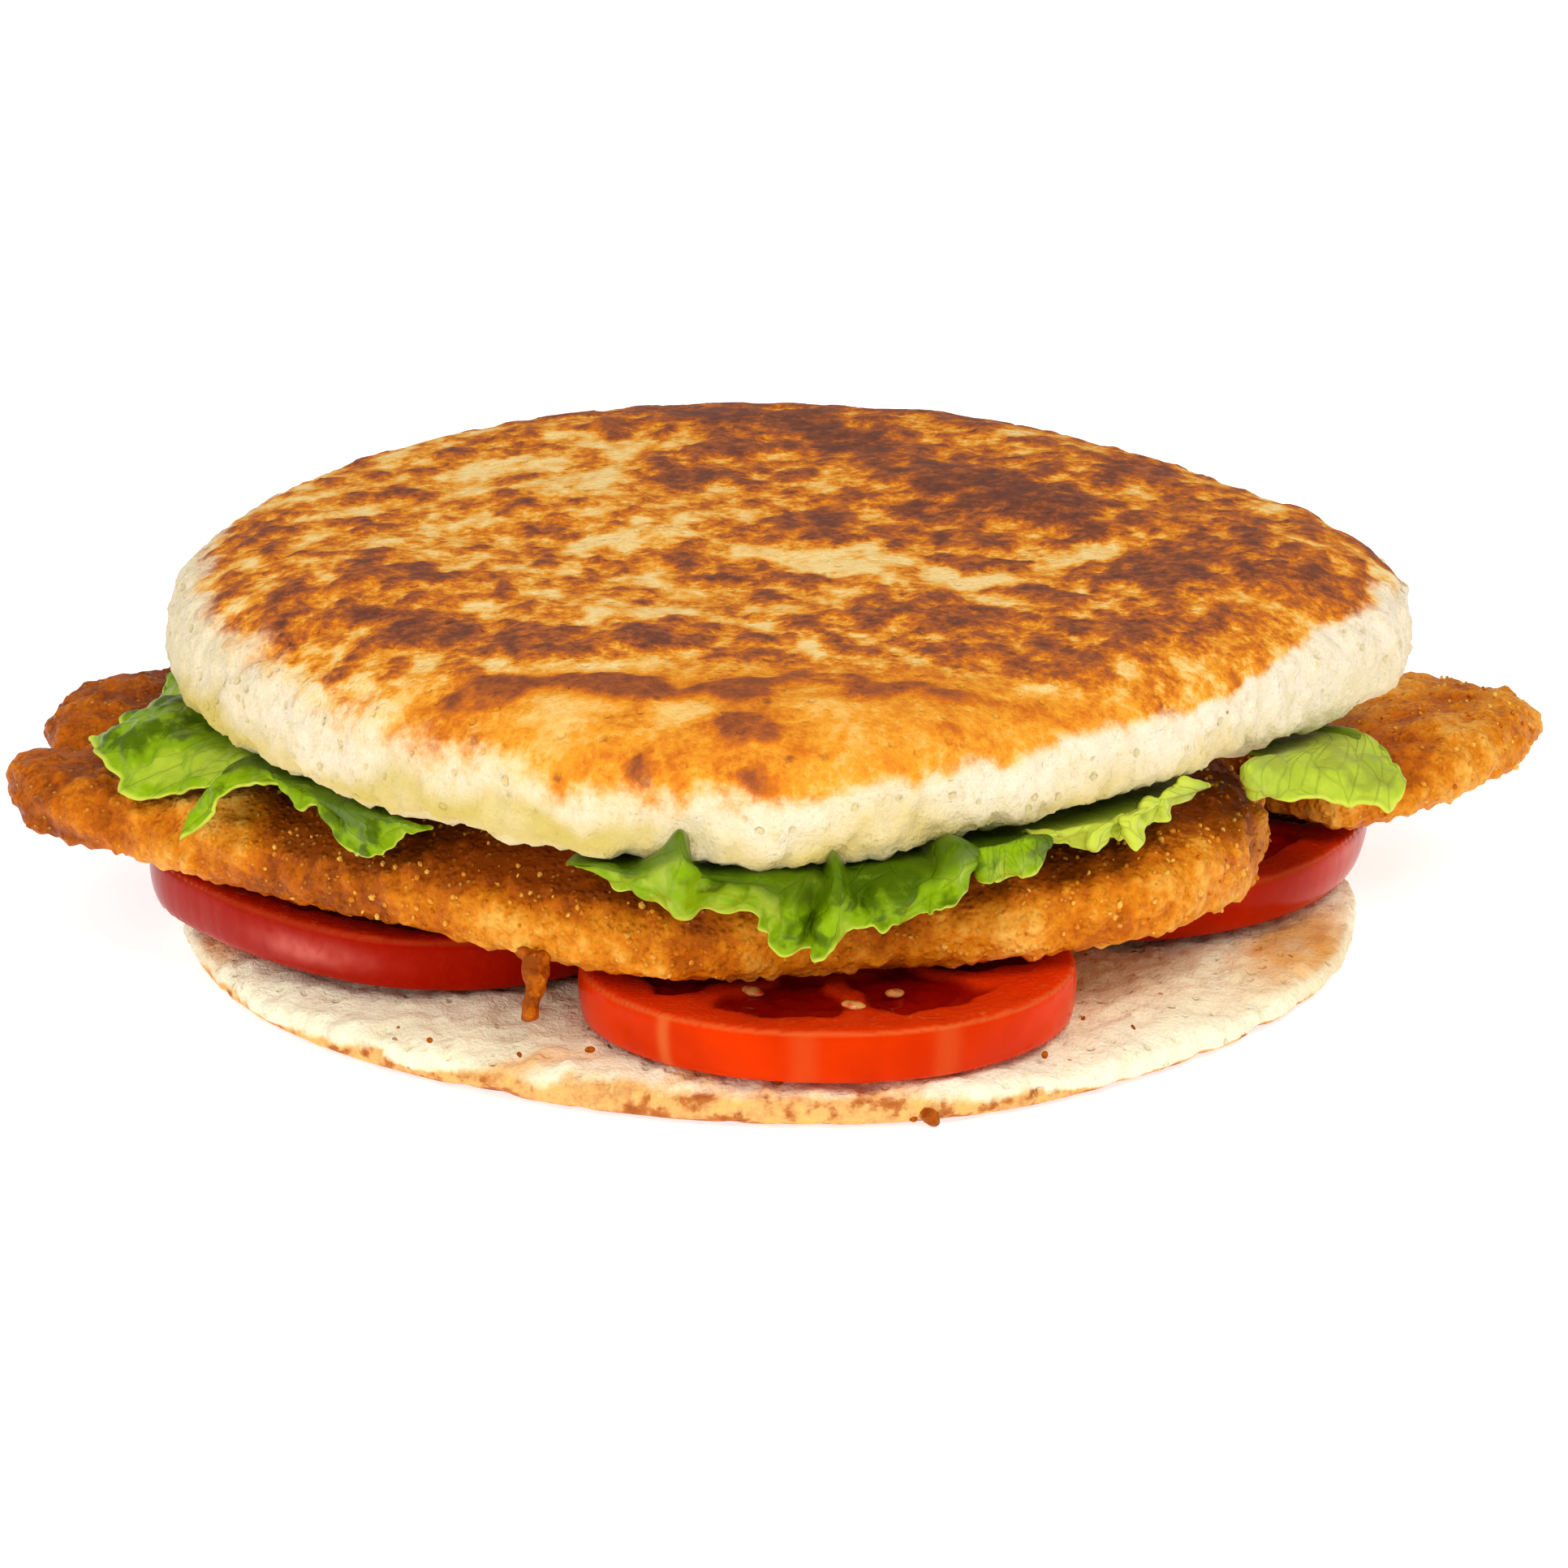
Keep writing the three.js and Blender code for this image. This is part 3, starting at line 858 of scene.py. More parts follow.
# How strongly the painted sheen shows on each slice.
SHEEN_STRENGTH = {"front": 0.0, "left": 1.3, "right": 0.9, "back": 0.2}
# Pale streaks down the skin in front, as marks() reads them.
SKIN_STREAKS = [(-12.7, -73, 0.7, 4, 0, 1), (21, -74, 1.4, 4, 0, 0.35), (4, -77, 1.6, 4, 0, 0.3)]


def slice_thickness():
    """Thickness of a slice that lies level, in metres."""
    low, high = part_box("tomato_left")
    return high.z - low.z


def slice_edge(node):
    """(degrees, millimetres) pairs for the way from the middle of a slice's box to its edge."""
    low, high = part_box(node)
    middle = (low + high) / 2
    pairs = []
    for degrees in range(0, 360, 6):
        heading = Vector((math.cos(math.radians(degrees)), math.sin(math.radians(degrees)), 0))
        hit, spot, _, _ = frame["nodes"][node].ray_cast(middle, heading)
        if not hit:
            raise RuntimeError("no edge found on " + node)
        pairs.append((degrees, (spot - middle).length / MM))
    return pairs


def tomato_blank(name, node):
    """A disc the size of one slice with narrow rounded rims."""
    low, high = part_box(node)
    size = high - low
    middle = (low + high) / 2
    bpy.ops.object.select_all(action="DESELECT")
    bpy.ops.mesh.primitive_cylinder_add(
        vertices=96, radius=0.5, depth=1, end_fill_type="TRIFAN", location=middle,
        scale=(size.x, size.y, slice_thickness()),
    )
    piece = added(name)

    def is_rim(a, b):
        away = min(math.hypot(p.x - middle.x, p.y - middle.y) for p in (a, b))
        return abs(a.z - b.z) < MM and away > 0.4 * size.x

    choose_edges(piece, is_rim)
    bpy.ops.mesh.bevel(offset=0.45 * MM, segments=2, profile=0.5, affect="EDGES")
    bpy.ops.object.mode_set(mode="OBJECT")
    return piece


def shape_slice(piece, settings, side, edge, lean, seed):
    """Draws the disc out to the slice's outline, sinks its gel pockets and paints skin, flesh and gel."""
    pockets, turn, _, flare, (sheen_at, sheen_width, sheen_height) = SLICES[side]
    points = points_of(piece)
    normals = normals_of(piece)
    middle = (points.min(0) + points.max(0)) / 2
    half = (points.max(0) - points.min(0)) / 2
    away = points - middle
    share = np.hypot(away[:, 0] / half[0], away[:, 1] / half[1])
    heading = np.arctan2(away[:, 1], away[:, 0])
    level = away[:, 2] / half[2]
    ellipse = half[0] * half[1] / np.hypot(half[1] * np.cos(heading), half[0] * np.sin(heading))
    reach = round_curve(heading, edge) / ellipse

    angle = heading - math.radians(turn)
    inset = (1 - share) * min(half[0], half[1])
    wander = noise(points, 11, seed=seed, octaves=2)
    petal = np.cos(pockets * angle + wander * 1.6) * 0.5 + 0.5
    wall = settings.wall / MM + wander * 2 + noise(points, 3, seed=seed + 3) * 0.5
    ring = rise(inset, wall - 0.5, wall + 0.5) * rise(share, 0.2, 0.34)
    gel = ring * rise(petal, 0.06, 0.3)
    cut = rise(np.abs(normals[:, 2]), 0.6, 0.95)
    bumpy = noise(points, 2.2, seed=seed + 1, octaves=2) * (0.08 + 0.3 * gel) * cut
    skin = (1 - cut) * noise(points, 14, seed=seed + 2) * 0.3
    moved = points + normals * (bumpy + skin - gel * cut * settings.sink / MM)[:, None]
    bulge = 0.45 * level**2 - 0.5 * flare * level
    outward = away * (1, 1, 0) / np.maximum(np.hypot(away[:, 0], away[:, 1]), 1)[:, None]
    moved += away * (1, 1, 0) * (reach - 1)[:, None] - outward * (bulge * share)[:, None]
    moved[:, 2] += lean / MM * away[:, 1] / half[1] / 2
    place_points(piece, moved)

    paint(piece, "flesh", cut)
    paint(piece, "gel", gel * cut)
    # Painted highlight: a pale line along the slice's rounded top edge.
    paint(piece, "rim", rise(normals[:, 2], 0.3, 0.6) * rise(0.97 - normals[:, 2], 0, 0.2))
    paint(piece, "streak", np.clip(marks(points, SKIN_STREAKS) * (1 - cut), 0, 1))
    # Painted sheen: a pale pinkish reflection painted on the skin in a band at one direction and height.
    turned = (np.degrees(heading) - sheen_at + 180) % 360 - 180
    sheen_band = hump(level * 0.5 + 0.5, sheen_height, 0.2) * hump(turned, 0, sheen_width)
    rough = 0.8 + 0.6 * noise(points, 2.4, seed=seed + 4, octaves=3)
    paint(piece, "painted_sheen", np.clip(sheen_band * rough * (1 - cut) * SHEEN_STRENGTH[side], 0, 1))


def tomato_finish(name, settings, ripeness_and_shade):
    """Glossy tomato skin round juicy flesh and darker gel."""
    finish = Finish(name, roughness=0.2, Specular_IOR_Level=0.1, Specular_Tint=(1, 0.25, 0.08, 1))
    finish.soften(0.15, (1, 0.2, 0.05), 2)
    flesh = finish.painted("flesh")
    gel = finish.painted("gel")
    broad = finish.noise(13, detail=3)
    small = finish.noise(2.6, detail=4)
    fibres = finish.noise(1.2, detail=3, distortion=1.2)
    skin = finish.mix(ripeness_and_shade, settings.fresh, settings.ripe)
    skin = finish.mix(finish.step(broad, 0.35, 0.7, 0, 0.35), skin, settings.ripe)
    skin = finish.mix(finish.step(fibres, 0.4, 0.8, 0, 0.12), skin, settings.fresh)
    # Painted sheen: mixes the pale pinkish reflection into the skin colour.
    skin = finish.mix(finish.times(finish.painted("painted_sheen"), 0.75), skin, settings.painted_sheen)
    meat = finish.mix(finish.step(small, 0.35, 0.7, 0, 0.7), settings.flesh, settings.fresh)
    # Painted shade: the side slices' cut flesh is darkened towards deep red, for the fillets' shade above
    # it as well as for riper flesh.
    meat = finish.mix(0.8 * ripeness_and_shade, meat, settings.ripe)
    meat = finish.mix(finish.step(fibres, 0.55, 0.8, 0, 0.14), meat, settings.seed)
    juice = finish.mix(finish.step(broad, 0.4, 0.65, 0, 0.6), settings.gel, settings.ripe)
    shade = finish.mix(flesh, skin, finish.mix(gel, meat, juice))
    # Pale orange for the painted highlight along the top edge, weaker on the shaded side slices, and for
    # the pale streaks.
    pale = finish.mix(0.45, settings.fresh, settings.seed)
    shade = finish.mix(finish.times(finish.painted("rim"), 0.35 - 0.25 * ripeness_and_shade), shade, pale)
    shade = finish.mix(finish.times(finish.painted("streak"), 0.5), shade, pale)
    relief = finish.sum(finish.times(small, 0.6), finish.times(fibres, 0.4))
    uneven = finish.times(relief, finish.step(finish.math("SUBTRACT", flesh, gel), 0, 1, 0.1, 1))
    rough = finish.sum(0.2, finish.step(flesh, 0.2, 1, 0, 0.12), finish.step(gel, 0.2, 0.9, 0, -0.2))
    return finish.done(shade, finish.bump(uneven, 0.5), rough)


def make_tomatoes(settings):
    """The four slices, each fitted to its node's outline."""
    for number, side in enumerate(SLICES):
        node = "tomato_" + side
        low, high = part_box(node)
        edge = slice_edge(node)
        piece = tomato_blank("tomato_slice_" + side, node)
        even_skin(piece, settings.skin)
        lean = high.z - low.z - slice_thickness()
        shape_slice(piece, settings, side, edge, lean, 70 + 5 * number)
        smooth_shaded(piece)
        complete(piece, tomato_finish("tomato_" + side, settings, SLICES[side][2]), "tomato", node)


# Seeds that show in the gel: x, y, height, turn in degrees.
SEEDS = [(10, -68.5, 12.9, 8), (15, -63.5, 12.6, 50), (-2, -62.5, 12.5, -30)]


def seed_finish(settings):
    """Pale seeds that the flesh shines through in places."""
    finish = Finish("tomato_seed", roughness=0.25)
    spots = finish.noise(1.1, detail=3)
    shade = finish.mix(finish.step(spots, 0.35, 0.7), settings.seed, settings.flesh)
    return finish.done(shade, finish.bump(spots, 0.2))


def make_seeds(settings):
    """Flat drop-shaped seeds, joined into one piece."""
    seeds = []
    for number, (x, y, z, turn) in enumerate(SEEDS):
        bpy.ops.object.select_all(action="DESELECT")
        centre = Vector((x * MM, y * MM, z * MM))
        heading = math.radians(turn)
        bpy.ops.mesh.primitive_uv_sphere_add(
            segments=14, ring_count=10, radius=MM, location=centre, rotation=(0.1, 0.15, heading),
            scale=(1.55, 0.95, 0.5),
        )
        seed = added(f"seed_{number}")
        tip = centre + Vector((math.cos(heading), math.sin(heading), 0)) * 1.5 * MM
        for vertex in seed.data.vertices:
            near = max(0, 1 - (vertex.co - tip).length / (1.6 * MM))
            vertex.co += (tip - vertex.co) * near * 0.35
        seeds.append(seed)
    bpy.ops.object.select_all(action="DESELECT")
    for seed in seeds:
        seed.select_set(True)
    bpy.context.view_layer.objects.active = seeds[0]
    bpy.ops.object.join()
    piece = bpy.context.object
    piece.name = "tomato_seeds"
    smooth_shaded(piece)
    complete(piece, seed_finish(settings), "tomato")


# ---------- crumbed fillets ----------
def shape_coating(piece, settings, seed):
    """Raises the coating's lumps and crumbs; paints their tips, patches and the painted shade under the
    lid.
    """
    points = points_of(piece)
    normals = normals_of(piece)
    lump = noise(points, 15, seed=seed) * 0.7 + noise(points, 7, seed=seed + 1, octaves=2) * 0.5
    near, size = nearest_seed(points, 2.7, seed=seed + 2)
    crumb = np.maximum(1 - near * 1.5, 0) * (0.35 + size)
    fine, fine_size = nearest_seed(points, 1.5, seed=seed + 3)
    speck = np.maximum(1 - fine * 1.7, 0) * fine_size
    under = rise(-normals[:, 2], 0.3, 0.9)
    upper = rise(normals[:, 2], 0.3, 0.9)
    tips = rise(np.abs(points[:, 0]), 74, 88)
    push = lump * settings.lump / MM * (1 - 0.8 * under) * (1 - 0.35 * upper) * (1 + 0.5 * tips)
    push += (crumb - 0.35) * settings.crumb / MM * 1.25 + (speck - 0.2) * settings.crumb / MM * 0.7
    moved = points + normals * (push - 0.15)[:, None]

    # the near edge sags onto the slices, and short ragged spikes hang from it
    sag = np.exp(-(((points[:, 0] - 6) / 38) ** 4)) * rise(-points[:, 1], 40, 60)
    moved[:, 2] -= settings.sag / MM * (sag * rise(22 - points[:, 2], 0, 8))
    edge = rise(1 - np.abs(normals[:, 2] + 0.35), 0.55, 0.9) * rise(19 - points[:, 2], 0, 3)
    spike, spike_size = nearest_seed(points * (1, 1, 0.25), 4.2, seed=seed + 4)
    drop = rise(0.36 - spike, 0, 0.3) * np.where(spike_size > 0.45, 1.2, 0.3) * edge
    moved[:, 2] -= drop
    place_points(piece, moved)

    paint(piece, "tip", np.clip(crumb * 0.7 + speck * 0.5 - 0.1, 0, 1))
    # Painted shade where the upper half overhangs the coating.
    under_lid_shade = rise(points[:, 2], 21, 28) * rise(76 - np.hypot(points[:, 0], points[:, 1]), 0, 12)
    back = rise(points[:, 1], -12, 6)
    tan_and_shade = 0.56 + lump * 0.5 + noise(points, 22, seed=seed + 5) * 0.5 - 0.75 * under_lid_shade
    tan_and_shade -= 0.16 * rise(20 - points[:, 0], 0, 50) + 0.45 * back * rise(-points[:, 0], 60, 75)
    paint(piece, "patch_and_shade", np.clip(tan_and_shade, -0.3, 1.1))


def coating_finish(name, settings, paler=0.0):
    """Fried golden crumbs, light at their tips, brown in the hollows and in the painted shade under the
    lid.
    """
    finish = Finish(name, roughness=0.48, Specular_IOR_Level=0.15, Specular_Tint=(1, 0.75, 0.4, 1))
    finish.soften(0.1, (1, 0.5, 0.15), 1.5)
    tip = finish.painted("tip")
    patch_and_shade = finish.painted("patch_and_shade")
    small = finish.noise(2.2, detail=5, roughness=0.65)
    fine = finish.noise(0.7, detail=3, roughness=0.6)
    grains = finish.cells(0.95)
    tone = finish.sum(
        finish.step(patch_and_shade, -0.3, 1.1, -0.05, 0.85), finish.step(tip, 0, 0.8, -0.05, 0.12),
        finish.step(small, 0.3, 0.7, -0.15, 0.15), finish.step(fine, 0.3, 0.7, -0.06, 0.06), paler,
    )
    shade = finish.ramp(
        tone, [(0.0, settings.deep), (0.3, settings.rust), (0.55, settings.golden), (0.95, settings.light)]
    )
    bright = finish.spots(grains, (0.62, 0.8), (0.36, 0.12))
    shade = finish.mix(finish.times(bright, 0.42), shade, settings.light)
    relief = finish.sum(
        finish.times(small, 0.5), finish.step(grains.outputs["Distance"], 0.0, 0.6, 0.5, 0.0),
        finish.times(fine, 0.25),
    )
    rough = finish.step(small, 0.3, 0.7, 0.36, 0.6)
    return finish.done(shade, finish.bump(relief, 0.52), rough)


def make_fillets(settings):
    """The two fillets, with their nodes' outlines rounded and crumbed."""
    for number, side in enumerate(("front", "rear")):
        node = "fillet_" + side
        piece = merged_copy("crumbed_fillet_" + side, node)
        even_skin(piece, settings.skin * 1.6)
        finish_with(piece, "SMOOTH", factor=0.5, iterations=5)
        even_skin(piece, settings.skin)
        shape_coating(piece, settings, 101 + 10 * number)
        smooth_shaded(piece)
        complete(piece, coating_finish("fried_coating_" + side, settings), "fried_crumb_coating", node)


def grain_shape():
    """Points and faces of one small rough crumb."""
    bpy.ops.object.select_all(action="DESELECT")
    bpy.ops.mesh.primitive_ico_sphere_add(subdivisions=1, radius=1)
    ball = bpy.context.object
    corners = np.array([v.co for v in ball.data.vertices])
    faces = np.array([f.vertices for f in ball.data.polygons])
    bpy.data.objects.remove(ball)
    return corners, faces


def scattered_grains(name, places, sizes, seed):
    """One piece of many small crumbs, each turned and stretched its own way."""
    chance = np.random.default_rng(seed)
    corners, faces = grain_shape()
    all_points = []
    all_faces = []
    for number, (place, size) in enumerate(zip(places, sizes)):
        turn = chance.normal(size=(3, 3))
        turn = np.linalg.qr(turn)[0]
        stretch = size * chance.uniform(0.6, 1.3, 3)
        rough = corners * chance.uniform(0.8, 1.2, (len(corners), 1))
        all_points.append((rough * stretch) @ turn.T + place)
        all_faces.append(faces + number * len(corners))
    mesh = bpy.data.meshes.new(name)
    mesh.from_pydata((np.concatenate(all_points) * MM).tolist(), [], np.concatenate(all_faces).tolist())
    piece = bpy.data.objects.new(name, mesh)
    bpy.context.scene.collection.objects.link(piece)
    only(piece)
    bpy.ops.object.mode_set(mode="EDIT")
    bpy.ops.mesh.select_all(action="SELECT")
    bpy.ops.mesh.normals_make_consistent(inside=False)
    bpy.ops.object.mode_set(mode="OBJECT")
    return piece


GRAIN_COUNT = 2000
GRAINS_FACE_ABOVE = -0.6  # no grains on skin that faces further down than this
GRAINS_RIGHT_OF = -64  # nor on the fillets' left tips


def make_grains(settings):
    """Loose grains all over the coating except its underside and its left tips."""
    chance = np.random.default_rng(7)
    places = []
    sizes = []
    for side in ("front", "rear"):
        body = bpy.data.objects["crumbed_fillet_" + side]
        points = points_of(body)
        normals = normals_of(body)
        shown = np.flatnonzero((normals[:, 2] > GRAINS_FACE_ABOVE) & (points[:, 0] > GRAINS_RIGHT_OF))
        picked = chance.choice(shown, GRAIN_COUNT // 2, replace=False)
        size = chance.uniform(0.16, 0.44, len(picked))
        places.append(points[picked] + normals[picked] * (size * 0.25)[:, None])
        sizes.append(size)
    piece = scattered_grains("coating_grains", np.concatenate(places), np.concatenate(sizes), 8)
    chance = np.random.default_rng(9)
    corners = len(piece.data.vertices) // GRAIN_COUNT
    paint(piece, "tip", np.repeat(chance.uniform(0.1, 0.8, GRAIN_COUNT), corners))
    paint(piece, "patch_and_shade", np.repeat(chance.uniform(0.2, 1, GRAIN_COUNT), corners))
    complete(piece, coating_finish("fried_grains", settings, 0.06), "fried_crumb_coating")


# The batter drip below the near fillet: x, y, z, radius.
DRIP = [
    (-28.2, -60.5, 17, 2.4), (-28, -62, 15.2, 1.7), (-28, -62.6, 13.6, 1.3), (-28.2, -63, 12, 1.2),
    (-28.8, -63.2, 10.6, 1.3), (-29, -63.4, 9.8, 1), (-29.1, -63.4, 9.3, 0.5),
]


def make_drip(settings):
    """A ragged string of fried batter drawn down step by step."""
    x, y, z, radius = DRIP[0]
    bpy.ops.object.select_all(action="DESELECT")
    bpy.ops.mesh.primitive_cylinder_add(
        vertices=12, radius=radius * MM, depth=MM, location=(x * MM, y * MM, z * MM)
    )
    piece = added("batter_drip")
    choose_faces(piece, lambda centre, normal: normal.z < -0.9)
    for (x0, y0, z0, r0), (x1, y1, z1, r1) in zip(DRIP, DRIP[1:]):
        step = ((x1 - x0) * MM, (y1 - y0) * MM, (z1 - z0) * MM)
        bpy.ops.mesh.extrude_region_move(TRANSFORM_OT_translate={"value": step})
        bpy.ops.transform.resize(value=(r1 / r0, r1 / r0, 1))
    bpy.ops.object.mode_set(mode="OBJECT")
    even_skin(piece, 0.35 * MM)
    finish_with(piece, "SMOOTH", factor=0.5, iterations=6)
    points = points_of(piece)
    normals = normals_of(piece)
    near, size = nearest_seed(points, 1.9, seed=141)
    crumb = np.maximum(1 - near * 1.6, 0) * size
    rough = noise(points, 2.2, seed=142, octaves=2) * 0.55 + crumb * 0.7
    place_points(piece, points + normals * (rough - 0.1)[:, None])
    paint(piece, "tip", np.clip(crumb, 0, 1))
    paint(piece, "patch_and_shade", np.full(len(points), 0.1))
    smooth_shaded(piece)
    complete(piece, coating_finish("fried_batter", settings), "fried_crumb_coating")


# Loose crumbs on and beside the lower half: x, y, z, size.
LOOSE_CRUMBS = [
    (19, -75.8, 1.5, 1.4), (17, -75.6, 1.2, 0.9), (-41, -61.5, 5.9, 0.55), (-30, -66.5, 5.9, 0.5),
    (-21.5, -66, 6.3, 0.7), (33, -65.5, 5.5, 0.5), (44, -57, 5.9, 0.4), (-45, -57, 5.9, 0.3),
    (1, -72.5, 4.6, 0.5), (38, -55, 6.3, 0.35),
]


def make_loose_crumbs(settings):
    """Crumbs that fell off the coating, softened by subdivision."""
    rows = np.array(LOOSE_CRUMBS)
    piece = scattered_grains("loose_crumbs", rows[:, :3], rows[:, 3], 10)
    count = len(piece.data.vertices)
    paint(piece, "tip", np.full(count, 0.2))
    paint(piece, "patch_and_shade", np.full(count, 0.1))
    finish_with(piece, "SUBSURF", levels=2, render_levels=2)
    smooth_shaded(piece)
    complete(piece, coating_finish("loose_crumb", settings), "fried_crumb_coating")


# ---------- lettuce ----------
LEAF_TOP = 32  # height in millimetres at which the leaves come out under the upper half
ROOT_HEIGHT = 31.6  # and at which they begin inside
ROOT_PULL = 13  # how far a leaf reaches in under the upper half
LEAF_ROWS = 44  # points from a leaf's root to its free edge
LEAF_SPACING = 0.55  # millimetres between the points along a leaf's edge

# Each leaf is drawn through a few columns of points, from where it comes out under the upper half, over
# its belly, to its free edge, in millimetres.
LEAVES = {
    "left": [
        [(-71, 5, 32), (-77, 9, 30.5), (-78, 6, 29.5)],
        [(-71, 0.5, 32), (-76, 1, 31), (-80.5, 0, 28.5)],
        [(-70.5, -5, 32), (-77, -9, 31.5), (-83.5, -8.5, 28.5)],
        [(-69.5, -10.5, 32), (-77.5, -15, 32), (-86.5, -11, 28)],
        [(-68, -15.5, 32), (-76.5, -19, 30.5), (-83.5, -17, 27)],
        [(-66.5, -19.5, 32), (-74.5, -22.5, 30), (-81.5, -22, 25)],
        [(-65, -23, 32), (-71.5, -25, 30), (-78.5, -24.5, 24.5)],
        [(-63.5, -26, 32), (-69.5, -27.5, 30.5), (-74.5, -26.5, 25.5)],
        [(-62.5, -28.5, 32), (-67.5, -30, 31), (-71.5, -28.5, 27)],
        [(-61, -30.5, 32), (-65, -32, 31.7), (-68.5, -30.5, 28)],
    ],
    "left_curl": [
        [(-64, -33.5, 32), (-70, -34.5, 28.5), (-72.5, -40, 24)],
        [(-64.5, -31.5, 32), (-68.5, -36, 29.5), (-69.5, -38.5, 25.5)],
        [(-63, -31.5, 32), (-66.5, -36, 31.3), (-67.5, -38, 29)],
        [(-62.5, -32.5, 32), (-64, -36, 32), (-63.5, -38.5, 31)],
        [(-61, -35, 32), (-61, -38.5, 32), (-59.5, -40, 31)],
        [(-59, -38.5, 32), (-58.5, -42, 31.5), (-57.5, -44, 29.5)],
        [(-57, -41, 32), (-56, -44, 31.7), (-55, -45.5, 30.5)],
        [(-55.5, -43.5, 32), (-53.5, -47, 30.5), (-52, -49, 26.5)],
        [(-53.5, -46, 32), (-51.5, -48.5, 29.5), (-49.5, -50, 26)],
        [(-51.5, -48.5, 32), (-49, -51.5, 29.5), (-47, -52.5, 26.5)],
        [(-49.5, -50.5, 32), (-47, -53, 31), (-45, -53.5, 28.5)],
        [(-47.5, -52.5, 32), (-44.5, -55.5, 31.5), (-43, -55, 29.5)],
        [(-44.5, -55.5, 32), (-42, -57.5, 32), (-40.5, -57, 31)],
    ],
    "front": [
        [(-23.5, -70.5, 32), (-23.5, -72.5, 32), (-21, -70.5, 31)],
        [(-20.5, -71.5, 32), (-19, -73, 31.5), (-19, -71.5, 29)],
        [(-16.5, -74, 32), (-15, -77.5, 32.5), (-16, -73, 28)],
        [(-12.5, -77.5, 35.5), (-12.3, -79.5, 34), (-13, -74.5, 27)],
        [(-10.2, -81, 39), (-10, -81.8, 35.5), (-10.5, -76.5, 26.5)],
        [(-9, -78, 33), (-8, -78, 32.5), (-7.5, -74, 26)],
        [(-5.5, -76.5, 32), (-4.5, -76, 31), (-4.5, -74, 25.7)],
        [(-1, -76.5, 32), (-1.5, -76, 30), (-1.5, -74.5, 25.3)],
        [(1.5, -76.5, 32), (0.5, -77.5, 29), (-0.5, -77, 24.7)],
        [(3.5, -76, 32), (2.5, -80.5, 29), (1, -79, 23.5)],
        [(5.3, -76, 32), (4.8, -77, 27.8), (4.5, -78.5, 23.5)],
        [(6.8, -76.5, 32), (6.5, -78.8, 28.5), (6, -80.5, 23)],
        [(7.6, -79.5, 35.5), (8, -80.7, 30.5), (7.5, -79, 24)],
        [(9, -76, 32), (9, -77, 29.5), (9, -77, 25)],
        [(11, -74.5, 32), (11, -75.5, 29.5), (11, -76.5, 26)],
        [(13.5, -73.5, 32), (13.5, -76.5, 29.7), (13.5, -76.5, 25.8)],
        [(16.5, -73, 32), (16, -77, 30), (16, -75.5, 26)],
        [(19, -73, 32), (18.5, -75, 30.5), (18.5, -74, 27)],
        [(20.5, -74.5, 34.5), (20.5, -76, 31.5), (20, -74, 27)],
        [(22, -73.5, 35.5), (22.5, -74.5, 32.5), (22, -74, 28)],
        [(25.5, -69, 32), (25, -71, 32), (23.5, -69, 30.5)],
    ],
    "front_fold": [
        [(24.5, -66.5, 32), (25, -69, 32), (23, -66, 31.5)],
        [(26, -65.5, 32), (24.7, -71.5, 33), (25, -70, 29.2)],
        [(28, -64, 32), (27, -70.5, 33.2), (27.5, -68, 28.2)],
        [(30, -62.5, 32), (29.3, -69, 33.2), (30.5, -67, 28.2)],
        [(31.5, -61.5, 32), (31, -67, 33), (32.5, -65, 29.4)],
        [(32.5, -60.5, 32), (33, -64, 32), (32, -62.5, 31)],
    ],
    "front_right": [
        [(30, -62.5, 32), (31, -63, 32), (28.5, -59, 31.5)],
        [(33, -60.5, 32), (33.5, -61.5, 32), (31, -59, 30.8)],
        [(36, -58, 32), (36, -60, 32), (34, -58.5, 30.2)],
        [(39, -56, 32), (38, -59.5, 32), (36.5, -58, 30)],
        [(41.5, -54, 32), (38.8, -61, 32), (39, -60, 28.8)],
        [(43, -52.5, 32), (42, -55.5, 32), (40.5, -56, 29.8)],
        [(44, -51, 32), (41.8, -57, 32.5), (42.5, -56.5, 29)],
        [(45.5, -49, 32), (43.5, -57, 33), (44, -56.5, 28.8)],
        [(47, -47, 32), (45, -55, 33), (45.5, -54, 29)],
        [(48.5, -46.5, 32), (46, -52, 33), (46, -50.5, 30)],
        [(50, -45.5, 32), (47.5, -51.5, 33.5), (47.8, -49, 29.3)],
        [(51.5, -44.5, 32), (48.5, -49.5, 34), (48.5, -47, 30.5)],
        [(52.5, -43.5, 32), (50, -48, 34.5), (50.5, -44, 31)],
        [(53, -42.5, 32), (52.5, -44, 33), (51.5, -42, 31.8)],
    ],
    "right": [
        [(62, -31, 32), (57.5, -43, 35), (58, -38, 31.5)],
        [(63.5, -29, 32), (58.3, -44, 35), (59, -39.5, 29.8)],
        [(65.5, -27, 32), (61, -40.5, 33.7), (61, -39.5, 29.3)],
        [(67.5, -24.5, 32), (64, -36.5, 32.5), (64, -39.5, 29)],
        [(69, -23, 32), (67, -34, 32), (67.5, -38.5, 28.7)],
        [(70.5, -21, 32), (70.5, -33, 31.5), (70.5, -38, 28.2)],
        [(72, -20.5, 32), (73, -31.5, 31), (73.5, -38.5, 27.8)],
        [(73, -22, 32.5), (75, -30, 30.8), (76, -38, 27.8)],
        [(74.5, -24, 32), (76.5, -30, 30.3), (77.7, -35, 28.5)],
        [(75.5, -26.5, 31.5), (77, -30, 30.2), (78.5, -32.5, 29)],
    ],
}


